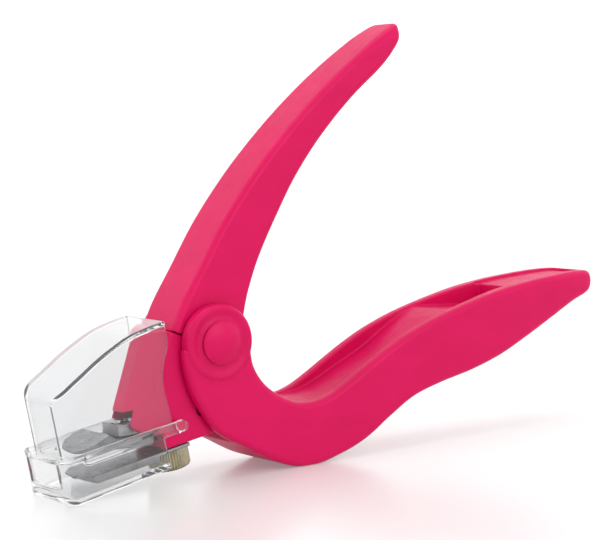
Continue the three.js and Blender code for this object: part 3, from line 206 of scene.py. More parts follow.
# Mesh steps.
COARSE = 1.0
HANDLE_STEP = 0.42 * COARSE
HEAD_STEP = 0.33 * COARSE
CLEAR_STEP = 0.26 * COARSE
BLADE_STEP = 0.2 * COARSE

# Counts of steps along curves, and of points worked out at a time
UPPER_LINE_STEPS, LINE_STEPS, FLOOR_LINE_STEPS, TIP_STEPS = 8, 6, 5, 12
ROUND_STEPS, CROWN_STEPS, CORNER_STEPS, WIRE_SIDES = 96, 14, 6, 16
STEPS_PER_KNURL, STEPS_PER_TURN, MOVING_LEG_STEPS, FIXED_LEG_STEPS = 8, 40, 8, 5
STAGE_STEPS, BACKDROP_STEPS = 64, 12
CHUNK = 6000

# How a surface is found: reach of the slope's probes, rounds of pulling, and least values to divide by
SLOPE_REACH, PULL_ROUNDS = 0.02, 2
LEAST_STEEPNESS, TINY = 0.05, 1e-9

# The span in which each surface is looked for: its lowest and its highest corner
UPPER_SPAN = (-12, -8, -8), (62, 8, 75)
LOWER_SPAN = (-11, -12, -34), (123, 12, 10)
HEAD_SPAN = (-31, -9, -22), (10, 9, 8)
UPPER_BLADE_SPAN = (-33, -7, -7), (-12, 7, -2)
LOWER_BLADE_SPAN = (-39, -7, -24), (-10, 7, -20)
COVER_SPAN = (-44, -10, -17), (-11, 10, 9)
TRAY_SPAN = (-50, -11, -26), (-11, 11, -14)


# Curves and outlines
def scaled(shares, across, up):
    """Points written as shares of a length across and a length up."""
    return [(x * across, z * up) for x, z in shares]


def smooth_line(points, steps):
    """A line through the points, as a Catmull-Rom curve."""
    p = np.array([points[0], *points, points[-1]], float)
    t = np.linspace(0, 1, steps, endpoint=False)[:, None]
    pieces = []
    for a, b, c, d in zip(p, p[1:], p[2:], p[3:]):
        pieces.append(0.5 * (2 * b + (c - a) * t + (2 * a - 5 * b + 4 * c - d) * t**2
                             + (3 * b - a - 3 * c + d) * t**3))
    return np.vstack([*pieces, p[-1:]])


def shifted(points, distance):
    """An open line moved sideways, to its left when distance is positive."""
    p = np.array(points, float)
    along = np.gradient(p, axis=0)
    along /= np.linalg.norm(along, axis=1)[:, None]
    return p + distance * np.column_stack([-along[:, 1], along[:, 0]])


def inset(points, distance):
    """A closed anticlockwise outline drawn in by a distance, with its corners kept sharp."""
    p = np.array(points, float)
    before = p - np.roll(p, 1, axis=0)
    after = np.roll(p, -1, axis=0) - p
    middle = np.zeros(p.shape)
    for edge in (before, after):
        middle += np.column_stack([-edge[:, 1], edge[:, 0]]) / np.linalg.norm(edge, axis=1)[:, None]
    return p + distance * middle * (2 / np.sum(middle**2, axis=1))[:, None]


def round_ended(first, second, radius):
    """An outline from two lines that end near the same tip, with the tip rounded."""
    one, two = (line[np.linalg.norm(line - line[-1], axis=1) > radius] for line in (first, second))
    t = np.linspace(0, 1, TIP_STEPS)[1:-1, None]
    tip = ((1 - t)**3 * one[-1] + 3 * (1 - t)**2 * t * first[-1]
           + 3 * (1 - t) * t**2 * second[-1] + t**3 * two[-1])
    return np.vstack([one, tip, two[::-1]])


def tilted(point, angle):
    """A point turned about the origin, from X towards Z."""
    x, z = point
    return (x * math.cos(angle) - z * math.sin(angle), x * math.sin(angle) + z * math.cos(angle))


# Fields: distances from a surface, negative inside
def outline(points, across, up):
    """Distance from a closed outline."""
    across, up = np.broadcast_arrays(across, up)
    x, z = across.ravel(), up.ravel()
    a = np.array(points, float)
    e = np.roll(a, -1, axis=0) - a
    e = np.where(np.abs(e) < TINY, TINY, e)
    length = np.sum(e**2, axis=1)
    found = np.empty(x.size)
    for start in range(0, x.size, CHUNK):
        part = slice(start, start + CHUNK)
        dx, dz = x[part, None] - a[:, 0], z[part, None] - a[:, 1]
        t = np.clip((dx * e[:, 0] + dz * e[:, 1]) / length, 0, 1)
        nearest = np.sqrt(np.min((dx - t * e[:, 0])**2 + (dz - t * e[:, 1])**2, axis=1))
        crosses = ((dz < 0) != (dz < e[:, 1])) & (dx < e[:, 0] * dz / e[:, 1])
        found[part] = np.where(crosses.sum(axis=1) % 2 == 1, -nearest, nearest)
    return found.reshape(across.shape)


def meet(a, b, radius=0.0):
    """What is inside both, with the edge between them rounded."""
    a, b = np.broadcast_arrays(a, b)
    corner = np.hypot(np.maximum(a + radius, 0), np.maximum(b + radius, 0))
    return np.minimum(np.maximum(a, b), -radius) + corner


def merge(a, b, radius=0.0):
    """What is inside either, with a fillet between them."""
    return -meet(-a, -b, radius)


def cut(a, b, radius=0.0):
    """What is inside a and outside b."""
    return meet(a, -b, radius)


def block(low, high, value):
    """Distance from the slab between two values."""
    return np.maximum(low - value, value - high)


def disc(x, z, radius, at=(0.0, 0.0)):
    """Distance from a round rod."""
    return np.hypot(x - at[0], z - at[1]) - radius


# Meshes
CORNERS = [(i, j, k) for i in (0, 1) for j in (0, 1) for k in (0, 1)]


def slope(field, points):
    """The field and its slope at points."""
    value = field(*points.T)
    steps = []
    for axis in range(3):
        ahead, behind = points.copy(), points.copy()
        ahead[:, axis] += SLOPE_REACH
        behind[:, axis] -= SLOPE_REACH
        steps.append((field(*ahead.T) - field(*behind.T)) / (2 * SLOPE_REACH))
    return value, np.column_stack(steps)


def crossed_cells(values, inside):
    """The grid cells that the surface passes through, and the middle of its crossings in each."""
    n = np.array(values.shape) - 1
    count = sum(inside[i:n[0] + i, j:n[1] + j, k:n[2] + k].astype(np.int8) for i, j, k in CORNERS)
    cells = np.argwhere((count > 0) & (count < len(CORNERS)))
    total, hits = np.zeros((len(cells), 3)), np.zeros(len(cells))
    for corner in CORNERS:
        for axis in range(3):
            if corner[axis]:
                continue
            other = np.array(corner)
            other[axis] = 1
            first, second = values[tuple((cells + corner).T)], values[tuple((cells + other).T)]
            hit = (first < 0) != (second < 0)
            share = np.zeros(len(cells))
            share[hit] = first[hit] / (first[hit] - second[hit])
            place = np.tile(np.array(corner, float), (len(cells), 1))
            place[:, axis] += share
            total[hit] += place[hit]
            hits += hit
    return cells, total / hits[:, None]


def crossing_quads(inside, cells):
    """A quad round each grid edge that the surface crosses, with its front outward."""
    n = np.array(inside.shape) - 1
    index = np.full(n, -1, np.int64)
    index[tuple(cells.T)] = np.arange(len(cells))
    quads = []
    for axis, u, v in ((0, 1, 2), (1, 2, 0), (2, 0, 1)):
        first = np.take(inside, range(n[axis]), axis)
        second = np.take(inside, range(1, n[axis] + 1), axis)
        edges = np.argwhere(first != second)
        keep = (edges[:, u] > 0) & (edges[:, v] > 0) & (edges[:, u] < n[u]) & (edges[:, v] < n[v])
        edges = edges[keep]
        back_u, back_v = np.eye(3, dtype=int)[u], np.eye(3, dtype=int)[v]
        ring = [index[tuple((edges - s).T)] for s in (0 * back_u, back_u, back_u + back_v, back_v)]
        quad = np.column_stack(ring)
        outward = first[tuple(edges.T)]
        quads.append(np.where(outward[:, None], quad, quad[:, ::-1]))
    return np.vstack(quads)


def surface(field, low, high, step):
    """Points, quads and normals of the closed surface where a field is zero, found on a grid."""
    axes = [np.arange(a - 2 * step, b + 3 * step, step) for a, b in zip(low, high)]
    grid = (axes[0][:, None, None], axes[1][None, :, None], axes[2][None, None, :])
    values = np.broadcast_to(field(*grid), [len(a) for a in axes])
    inside = values < 0
    cells, middles = crossed_cells(values, inside)
    points = np.array([a[0] for a in axes]) + step * (cells + middles)
    for _ in range(PULL_ROUNDS):
        value, rise = slope(field, points)
        steepness = np.maximum(np.sum(rise**2, axis=1), LEAST_STEEPNESS)
        points -= (np.clip(value, -step, step) / steepness)[:, None] * rise
    rise = slope(field, points)[1]
    normals = rise / np.maximum(np.linalg.norm(rise, axis=1), TINY)[:, None]
    return points, crossing_quads(inside, cells), normals


def placed(points, place):
    """Points of a place frame, in the row frame, still in millimetres."""
    origin, angle = place
    x, y, z = np.asarray(points, float).T
    return origin + np.column_stack([
        x * math.cos(angle) - z * math.sin(angle), y, x * math.sin(angle) + z * math.cos(angle)])


def new_piece(name, points, faces, place, body, slot, stands_for, normals=None):
    """A smooth mesh that rides on a body in the place of a CAD node."""
    mesh = bpy.data.meshes.new(name)
    world = placed(points, place)
    mesh.from_pydata((world * MM).tolist(), [], [list(map(int, f)) for f in faces])
    mesh.polygons.foreach_set("use_smooth", [True] * len(mesh.polygons))
    if normals is not None:
        turned = placed(normals, (np.zeros(3), place[1]))
        mesh.normals_split_custom_set_from_vertices(turned.tolist())
    mesh.materials.append(materials[slot])
    piece = bpy.data.objects.new(name, mesh)
    bpy.context.scene.collection.objects.link(piece)
    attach(piece, body)
    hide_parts(stands_for)
    return piece


def field_piece(name, field, span, step, place, body, slot, stands_for):
    """A piece made from the surface of a field."""
    points, quads, normals = surface(field, *span, step)
    return new_piece(name, points, quads, place, body, slot, stands_for, normals)


def revolved(profile, steps, radius_at=None):
    """Points and faces of a profile of (radius, height), from axis to axis, turned about Z."""
    points, faces = [(0.0, 0.0, profile[0][1])], []
    rings = profile[1:-1]
    for radius, height in rings:
        for k in range(steps):
            angle = 2 * math.pi * k / steps
            r = radius_at(radius, height, angle) if radius_at else radius
            points.append((r * math.cos(angle), r * math.sin(angle), height))
    points.append((0.0, 0.0, profile[-1][1]))
    last = len(points) - 1
    for k in range(steps):
        following = (k + 1) % steps
        faces.append((0, 1 + following, 1 + k))
        faces.append((last, last - steps + k, last - steps + following))
        for ring in range(len(rings) - 1):
            a = 1 + ring * steps
            faces.append((a + k, a + following, a + steps + following, a + steps + k))
    return np.array(points), faces


def arc(centre, radius, start, end, steps):
    """Points along an arc between two angles in degrees."""
    angles = np.linspace(math.radians(start), math.radians(end), steps + 1)
    return [(centre[0] + radius * math.cos(a), centre[1] + radius * math.sin(a)) for a in angles]


def tube(path, radius, sides):
    """Points and faces of a round wire along a path, with flat ends."""
    p = np.asarray(path, float)
    along = np.gradient(p, axis=0)
    along /= np.linalg.norm(along, axis=1)[:, None]
    side = np.cross(along[0], (0.0, 1.0, 0.0))
    points, faces = [], []
    for place, heading in zip(p, along):
        side = side - heading * np.dot(side, heading)
        side /= np.linalg.norm(side)
        other = np.cross(heading, side)
        for k in range(sides):
            angle = 2 * math.pi * k / sides
            points.append(place + radius * (math.cos(angle) * side + math.sin(angle) * other))
    for ring in range(len(p) - 1):
        for k in range(sides):
            a, b = ring * sides + k, ring * sides + (k + 1) % sides
            faces.append((a, b, b + sides, a + sides))
    last = (len(p) - 1) * sides
    faces.append(tuple(range(sides - 1, -1, -1)))
    faces.append(tuple(range(last, last + sides)))
    return np.array(points), faces


# Materials
NOISE_RANGE = (0.3, 0.7)


class Finish:
    """A material with one principled shader, whose sockets are varied by noise."""

    def __init__(self, name, colour, roughness, metallic=0.0):
        self.material = bpy.data.materials.new(name)
        self.material.use_nodes = True
        self.nodes = self.material.node_tree.nodes
        self.links = self.material.node_tree.links
        self.sockets = self.nodes["Principled BSDF"].inputs
        self.sockets["Base Color"].default_value = (*colour, 1)
        self.sockets["Roughness"].default_value = roughness
        self.sockets["Metallic"].default_value = metallic

    def noise(self, scale, detail, stretch=(1, 1, 1), turn=0.0):
        """Object-space noise, in features per metre."""
        coordinates = self.nodes.new("ShaderNodeTexCoord")
        mapping = self.nodes.new("ShaderNodeMapping")
        mapping.inputs["Scale"].default_value = stretch
        mapping.inputs["Rotation"].default_value = (0, turn, 0)
        texture = self.nodes.new("ShaderNodeTexNoise")
        texture.inputs["Scale"].default_value = scale
        texture.inputs["Detail"].default_value = detail
        self.links.new(coordinates.outputs["Object"], mapping.inputs["Vector"])
        self.links.new(mapping.outputs["Vector"], texture.inputs["Vector"])
        return texture.outputs["Fac"]

    def vary(self, socket, fac, low, high):
        """Drives a socket between two values by a noise."""
        ramp = self.nodes.new("ShaderNodeMapRange")
        ramp.inputs["From Min"].default_value, ramp.inputs["From Max"].default_value = NOISE_RANGE
        ramp.inputs["To Min"].default_value, ramp.inputs["To Max"].default_value = low, high
        self.links.new(fac, ramp.inputs["Value"])
        self.links.new(ramp.outputs["Result"], self.sockets[socket])

    def colour(self, fac, low, high):
        """Drives the base colour between two colours by a noise."""
        ramp = self.nodes.new("ShaderNodeValToRGB")
        first, second = ramp.color_ramp.elements
        first.position, second.position = NOISE_RANGE
        first.color, second.color = (*low, 1), (*high, 1)
        self.links.new(fac, ramp.inputs["Fac"])
        self.links.new(ramp.outputs["Color"], self.sockets["Base Color"])

    def bump(self, fac, strength, distance, before=None):
        """Adds fine relief, with its distance in metres, to any relief before it."""
        node = self.nodes.new("ShaderNodeBump")
        node.inputs["Strength"].default_value = strength
        node.inputs["Distance"].default_value = distance
        self.links.new(fac, node.inputs["Height"])
        if before is not None:
            self.links.new(before, node.inputs["Normal"])
        self.links.new(node.outputs["Normal"], self.sockets["Normal"])
        return node.outputs["Normal"]


def pink_plastic():
    """Satin moulded plastic with faint flow marks, a fine grain and slight wear in its gloss."""
    finish = Finish("pink_plastic", (0.61, 0.0015, 0.088), roughness=0.36)
    flow = finish.noise(scale=60, detail=2, stretch=(1, 1, 2.5))
    finish.colour(flow, low=(0.585, 0.0012, 0.082), high=(0.635, 0.0018, 0.094))
    finish.vary("Roughness", finish.noise(scale=420, detail=4), low=0.36, high=0.46)
    grain = finish.bump(finish.noise(scale=5200, detail=2), strength=0.1, distance=0.00004)
    finish.bump(finish.noise(scale=150, detail=2), strength=0.06, distance=0.0004, before=grain)
    finish.sockets["Specular IOR Level"].default_value = 0.17
    return finish.material


def clear_plastic():
    """Polished clear plastic with faint moulding ripple and fingerprints in its gloss, and a painted glow: a faint
    white emission that lightens its walls.
    """
    finish = Finish("clear_plastic", (0.815, 0.82, 0.825), roughness=0.04)
    finish.sockets["Transmission Weight"].default_value = 1.0
    finish.sockets["IOR"].default_value = 1.3
    # Painted glow: a faint white emission lightens the clear walls, though they give no light of their own.
    finish.sockets["Emission Color"].default_value = (1, 1, 1, 1)
    finish.sockets["Emission Strength"].default_value = 0.02
    finish.vary("Roughness", finish.noise(scale=260, detail=3), low=0.02, high=0.07)
    finish.bump(finish.noise(scale=110, detail=2), strength=0.05, distance=0.0004)
    return finish.material


def ground_steel(name, low, high, roughness, turn=0.0):
    """Steel with fine grinding lines across it and a clouded gloss."""
    finish = Finish(name, high, roughness, metallic=1.0)
    lines = finish.noise(scale=900, detail=3, stretch=(8, 0.35, 8), turn=turn)
    finish.colour(finish.noise(scale=300, detail=4), low, high)
    finish.vary("Roughness", lines, low=roughness * 0.75, high=roughness * 1.3)
    finish.bump(lines, strength=0.12, distance=0.00003)
    return finish.material


def plated_brass(name, low, high, roughness):
    """Tarnished plating: blotches of warmer and greyer metal, with small pits."""
    finish = Finish(name, high, roughness, metallic=1.0)
    finish.colour(finish.noise(scale=700, detail=5), low, high)
    finish.vary("Roughness", finish.noise(scale=500, detail=3), low=roughness * 0.8, high=roughness * 1.3)
    finish.bump(finish.noise(scale=4000, detail=3), strength=0.15, distance=0.00003)
    return finish.material


def washer_nylon():
    """Off-white nylon with a faint mottle and a fine grain."""
    finish = Finish("washer_nylon", (0.8, 0.8, 0.76), roughness=0.5)
    finish.colour(finish.noise(scale=900, detail=3), low=(0.74, 0.74, 0.7), high=(0.82, 0.82, 0.78))
    finish.bump(finish.noise(scale=5000, detail=2), strength=0.1, distance=0.00003)
    return finish.material


materials = {
    "pink_plastic": pink_plastic(),
    "clear_plastic": clear_plastic(),
    "blade_steel": ground_steel("blade_steel", (0.2, 0.2, 0.205), (0.34, 0.34, 0.345), 0.3, HEAD_TILT),
    "knob_nickel": plated_brass("knob_nickel", (0.34, 0.31, 0.2), (0.5, 0.46, 0.33), 0.34),
    "insert_brass": plated_brass("insert_brass", (0.5, 0.36, 0.12), (0.66, 0.5, 0.2), 0.3),
    "plate_steel": ground_steel("plate_steel", (0.32, 0.32, 0.33), (0.45, 0.45, 0.46), 0.38),
    "fixing_steel": ground_steel("fixing_steel", (0.5, 0.5, 0.51), (0.63, 0.63, 0.64), 0.24),
    "spring_steel": ground_steel("spring_steel", (0.36, 0.36, 0.37), (0.5, 0.5, 0.51), 0.28),
    "washer_nylon": washer_nylon(),
}


# Handles
upper_outer = smooth_line(scaled(upper_outer_shares, UPPER_REACH, UPPER_RISE), UPPER_LINE_STEPS)
upper_inner = smooth_line(scaled(upper_inner_shares, UPPER_REACH, UPPER_RISE), UPPER_LINE_STEPS)
upper_outline = round_ended(upper_outer, upper_inner, TIP_ROUND)
upper_height_shares = (np.array(upper_outer_shares) + np.array(upper_inner_shares))[:, 1] / 2
upper_heights = upper_height_shares * UPPER_RISE
upper_half_widths = np.array(upper_width_shares) * UPPER_HALF_WIDTH

slit_front = head_front_shares[-1][0] * HEAD_REACH
slit_height = head_front_shares[-1][1] * HEAD_DEPTH
slit_places = [(-FAR, slit_height), (slit_front, slit_height), SLIT_FOOT, HEAD_REAR_TOP]
slit_line = [tilted(place, HEAD_TILT) for place in shifted(slit_places, GAP)]
below_slit = [(-FAR, -FAR), (FAR, -FAR), (FAR, slit_line[-1][1]), *slit_line[::-1]]


def upper_handle(x, y, z):
    """Tapering lever with a rounded tip, cut off along the slit, with tines round the head's lug."""
    wide = np.abs(y)
    half = np.interp(z, upper_heights, upper_half_widths)
    ahead = x * math.cos(UPPER_TIP_LEAN) + z * math.sin(UPPER_TIP_LEAN) - UPPER_TIP_END
    plan = meet(wide - half, ahead, UPPER_TIP_CORNER)
    body = meet(outline(upper_outline, x, z), plan, UPPER_ROUND)
    body = cut(body, outline(below_slit, x, z), BORE_ROUND)
    lug_room = meet(disc(x, z, LUG_RADIUS + GAP), wide - LUG_HALF_WIDTH - GAP)
    body = cut(body, lug_room, BORE_ROUND)
    tines = meet(disc(x, z, TINE_RADIUS), block(LUG_HALF_WIDTH + GAP, UPPER_HALF_WIDTH, wide), LUG_ROUND)
    return cut(merge(body, tines), disc(x, z, BORE_RADIUS), BORE_ROUND)


lower_inner = smooth_line(scaled(lower_inner_shares, LOWER_REACH, LOWER_DROP), LINE_STEPS)
lower_outer = smooth_line(scaled(lower_outer_shares, LOWER_REACH, LOWER_DROP), LINE_STEPS)
lower_outline = round_ended(lower_inner, lower_outer, TIP_ROUND)
lower_place_shares = (np.array(lower_inner_shares) + np.array(lower_outer_shares))[:, 0] / 2
lower_places = lower_place_shares * LOWER_REACH
lower_half_widths = np.array(lower_width_shares) * LOWER_HALF_WIDTH
rear_mid, heel = tilted(HEAD_REAR_MID, HEAD_TILT), tilted((HEAD_HEEL_X, -HEAD_DEPTH), HEAD_TILT)
rear_slope = (rear_mid[0] - heel[0]) / (rear_mid[1] - heel[1])


def web_x(z):
    """The front face of the web between the cheeks, parallel to the head's rear face."""
    return heel[0] + RUN_GAP / math.cos(math.atan(rear_slope)) + rear_slope * (z - heel[1])


head_room = [
    (-LOWER_REACH, -FAR), (web_x(-FAR), -FAR), (web_x(-WEB_TOP_DEPTH), -WEB_TOP_DEPTH),
    (WEB_REACH, -WEB_TOP_DEPTH), (WEB_REACH, LOWER_DROP), (-LOWER_REACH, LOWER_DROP),
]
channel_floor = smooth_line(scaled(channel_floor_shares, CHANNEL_END, CHANNEL_DEPTH), FLOOR_LINE_STEPS)
ridge_x = channel_floor[-1][0]
channel_top = [(CHANNEL_END, -SHELF_END_DEPTH), (CHANNEL_END, LOWER_DROP), (channel_floor[0][0], LOWER_DROP)]
channel_side = np.vstack([channel_floor, channel_top])
panel_line = shifted(lower_inner, -PANEL_DEPTH)
panel_start = int(np.searchsorted(lower_inner[:, 0], CHANNEL_END - PANEL_OVERLAP))
panel_end = int(np.searchsorted(lower_inner[:, 0], LOWER_REACH - PANEL_TIP_MARGIN))
panel_top = [(panel_line[k][0], LOWER_DROP) for k in (panel_end, panel_start)]
panel_side = np.vstack([panel_line[panel_start:panel_end], panel_top])


def lower_handle(x, y, z):
    """Fork with dished bosses, a curved neck, and a grip with its channel and panel."""
    wide = np.abs(y)
    half = np.interp(x, lower_places, lower_half_widths)
    body = meet(outline(lower_outline, x, z), wide - half, LOWER_ROUND)
    dish = BOSS_DISH_DEPTH * np.exp(-((np.hypot(x, z) - BOSS_DISH_RADIUS) / BOSS_DISH_WIDTH)**2)
    boss = meet(disc(x, z, BOSS_RADIUS), wide - BOSS_FACE + dish, BOSS_ROUND)
    body = merge(body, boss, BOSS_FILLET)
    body = cut(body, meet(outline(head_room, x, z), wide - CHEEK_INSIDE), CHEEK_ROUND)
    channel_half = np.interp(x, [ridge_x, CHANNEL_END], [CHANNEL_HALF_WIDTH, CHANNEL_END_HALF_WIDTH])
    channel = meet(outline(channel_side, x, z), wide - channel_half, CHANNEL_ROUND)
    body = cut(body, channel, CHANNEL_ROUND)
    panel = meet(outline(panel_side, x, z), wide - half + PANEL_RIM + LOWER_ROUND, PANEL_ROUND)
    body = cut(body, panel, PANEL_EDGE)
    washer_seat = meet(disc(x, z, WASHER_SEAT_RADIUS), wide - WASHER_SEAT_FACE)
    body = cut(body, washer_seat, BORE_ROUND)
    body = cut(body, disc(x, z, BORE_RADIUS), BORE_ROUND)
    return meet(body, -joint_place("handle_squeeze")[2] - z, BELLY_ROUND)


# Head
head_foot = -HEAD_DEPTH
head_outline = [
    *[(x, head_foot + z) for x, z in scaled(head_foot_shares, HEAD_REACH, NOSE_FOOT_HEIGHT)],
    *scaled(head_front_shares, HEAD_REACH, HEAD_DEPTH), SLIT_FOOT, HEAD_REAR_TOP, HEAD_REAR_MID,
    (HEAD_HEEL_X, head_foot),
][::-1]
head_inner_outline = inset(head_outline, HEAD_ROUND)
shoulder_top, shoulder_foot = scaled(nose_shoulder_shares, HEAD_REACH, HEAD_DEPTH)
shoulder_lean = math.atan2(shoulder_foot[0] - shoulder_top[0], shoulder_top[1] - shoulder_foot[1])
ridge_top = (head_front_shares[1][0] * HEAD_REACH, head_front_shares[1][1] * HEAD_DEPTH)
ridge_ahead = (shoulder_top[0] - ridge_top[0]) * math.cos(shoulder_lean)
ridge_depth = ridge_ahead - (ridge_top[1] - shoulder_top[1]) * math.sin(shoulder_lean)
bevel_slope = (HEAD_HALF_WIDTH - NOSE_RIDGE_HALF_WIDTH) / ridge_depth
floor_top = head_foot + FLOOR_THICKNESS
slot_front, floor_front = slot_places[0][0], head_foot_shares[0][0] * HEAD_REACH
slot_side = [
    (slot_front, head_foot - FAR), (floor_front, head_foot - FAR), (floor_front, floor_top),
    (FAR, floor_top), (FAR, slot_places[-1][1]), *slot_places[::-1],
]


def nose_bevel(x, wide, z):
    """Distance from the bevel that narrows the nose ahead of its shoulder."""
    ahead = (shoulder_top[0] - x) * math.cos(shoulder_lean) - (z - shoulder_top[1]) * math.sin(shoulder_lean)
    narrowed = wide - HEAD_HALF_WIDTH + bevel_slope * np.minimum(ahead, ridge_depth)
    return narrowed / math.hypot(1, bevel_slope)


def head_housing(x, y, z):
    """Block with a bevelled nose, a lug, the slot for the carrier, bores, and the catcher's pips."""
    wide = np.abs(y)
    body = meet(outline(head_inner_outline, x, z) - HEAD_ROUND, wide - HEAD_HALF_WIDTH, HEAD_ROUND)
    body = meet(body, nose_bevel(x, wide, z), NOSE_ROUND)
    body = merge(body, meet(disc(x, z, LUG_RADIUS), wide - LUG_HALF_WIDTH, LUG_ROUND))
    tine_seat = meet(disc(x, z, TINE_RADIUS + GAP), LUG_HALF_WIDTH - wide)
    body = cut(body, tine_seat, BORE_ROUND)
    slot = meet(outline(slot_side, x, z), wide - SLOT_HALF_WIDTH, SLOT_ROUND)
    hub_room = meet(disc(x, z, LUG_RADIUS - LUG_RIM), wide - SLOT_HALF_WIDTH)
    body = cut(body, merge(slot, hub_room), SLOT_EDGE)
    body = cut(body, disc(x, z, BORE_RADIUS), BORE_ROUND)
    carrier_bore = disc(x, z, CARRIER_BORE_RADIUS, CARRIER_PIN_PLACE)
    body = cut(body, meet(carrier_bore, y - CARRIER_BORE_END), BORE_ROUND)
    insert_bore = disc(x, y, INSERT_BORE_RADIUS, (SCREW_X, 0))
    body = cut(body, meet(insert_bore, z - floor_top - GAP))
    dowel_bores = disc(x, wide, DOWEL_BORE_RADIUS, (DOWEL_X, DOWEL_Y))
    body = cut(body, meet(dowel_bores, z - head_foot - DOWEL_BORE_DEPTH))
    pip_width = block(HEAD_HALF_WIDTH - PIP_PROUD, HEAD_HALF_WIDTH + PIP_PROUD, wide)
    return merge(body, meet(disc(x, z, PIP_RADIUS, PIP_PLACE), pip_width, PIP_ROUND), PIP_FILLET)


# Blades
def corner_cut(ahead, wide, reach, half_width, corner):
    """The two front corners taken off at 45 degrees."""
    return (ahead - reach + wide - half_width + corner) / math.sqrt(2)


upper_blade_side = inset([
    (-BLADE_REACH, BLADE_FOOT), (-BLADE_REAR, BLADE_FOOT), (-BLADE_REAR, BLADE_FOOT + BLADE_THICKNESS),
    (-BLADE_HEEL_REACH, BLADE_FOOT + BLADE_THICKNESS), (BLADE_HUMP[0], BLADE_FOOT + BLADE_HUMP[1]),
    (-BLADE_REACH, BLADE_FOOT + BLADE_TIP_LAND),
], BLADE_ROUND)
lower_blade_side = inset([
    (-ANVIL_REACH, ANVIL_TOP - ANVIL_LAND), (ANVIL_BEVEL - ANVIL_REACH, ANVIL_TOP - ANVIL_THICKNESS),
    (-TONGUE_FRONT, ANVIL_TOP - ANVIL_THICKNESS), (-TONGUE_FRONT, ANVIL_TOP - TONGUE_THICKNESS),
    (-ANVIL_REAR, ANVIL_TOP - TONGUE_THICKNESS), (-ANVIL_REAR, ANVIL_TOP), (-ANVIL_REACH, ANVIL_TOP),
], BLADE_ROUND)


def upper_blade(x, y, z):
    """Wedge with a ground hump and two cut corners."""
    wide = np.abs(y)
    body = meet(outline(upper_blade_side, x, z) - BLADE_ROUND, wide - BLADE_HALF_WIDTH, BLADE_ROUND)
    return meet(body, corner_cut(-x, wide, BLADE_REACH, BLADE_HALF_WIDTH, BLADE_CORNER), BLADE_ROUND)


def lower_blade(x, y, z):
    """Plate with a bevelled front, two cut corners and a thin tongue at its rear."""
    wide = np.abs(y)
    body = meet(outline(lower_blade_side, x, z) - BLADE_ROUND, wide - ANVIL_HALF_WIDTH, BLADE_ROUND)
    return meet(body, corner_cut(-x, wide, ANVIL_REACH, ANVIL_HALF_WIDTH, BLADE_CORNER), BLADE_ROUND)


# Nail catcher's cover and tray
cover_foot_x = cover_rear_shares[-1][0] * CATCHER_REACH
cover_taper = (COVER_REAR_HALF_WIDTH - COVER_FRONT_HALF_WIDTH) / (CATCHER_REACH + cover_foot_x)


def cover_plan(margin, x, wide):
    """Distance from the cover's plan, grown by a margin, with rounded front corners."""
    behind = np.minimum(x + CATCHER_REACH, CATCHER_REACH + cover_foot_x)
    half = COVER_FRONT_HALF_WIDTH + margin + cover_taper * behind
    return meet(wide - half, -CATCHER_REACH - margin - x, COVER_CORNER + margin)


def hood_side(depth):
    """The hood's side outline at a depth under its roof. The inner one is open behind and below."""
    opening = FAR if depth > 0 else 0
    roof = shifted(smooth_line(scaled(cover_roof_shares, CATCHER_REACH, CATCHER_RISE), LINE_STEPS), -depth)
    roof[0][0] = -CATCHER_REACH - FAR
    rear = [(x + opening, z) for x, z in scaled(cover_rear_shares, CATCHER_REACH, COVER_REAR_DEPTH)]
    foot = COVER_FOOT - opening
    return np.vstack([
        roof, [(roof[-1][0] + opening, roof[-1][1])], smooth_line(rear, LINE_STEPS),
        [(rear[-1][0], foot), (-CATCHER_REACH - FAR, foot)],
    ])


hood_outside, hood_inside = hood_side(0), hood_side(CATCHER_WALL)


def catcher_cover(x, y, z):
    """Thin hood, open at its rear and foot."""
    wide = np.abs(y)
    outside = meet(outline(hood_outside, x, z), cover_plan(0, x, wide), COVER_ROUND)
    inside = meet(outline(hood_inside, x, z), cover_plan(-CATCHER_WALL, x, wide), COVER_ROUND)
    return cut(outside, inside, CLEAR_EDGE)


def tray_plan(margin, x, wide):
    """Distance from the tray's plan, drawn in by a margin, with full front corners."""
    half, length = TRAY_HALF_WIDTH - margin, TRAY_CORNER - margin
    ahead = np.maximum(TRAY_CORNER - TRAY_REACH - x, 0) / length
    rounded = ((wide / half)**TRAY_SQUARENESS + ahead**TRAY_SQUARENESS)**(1 / TRAY_SQUARENESS)
    return (rounded - 1) * half


def tray_block(margin, top, rear, x, wide, z):
    """The tray as a solid, drawn in by a margin, up to a top and a rear."""
    length = TRAY_REACH - TRAY_FRONT_RISE - TRAY_REAR
    share = np.clip((x + TRAY_REACH - TRAY_FRONT_RISE) / length, 0, 1)
    foot = TRAY_FLOOR + TRAY_FLOOR_FALL * share + margin
    body = meet(foot - z, -TRAY_REACH + margin - x, TRAY_FRONT_RISE)
    body = meet(body, tray_plan(margin, x, wide), TRAY_ROUND)
    return meet(meet(body, z - top, TRAY_ROUND), x - rear, CLEAR_EDGE)


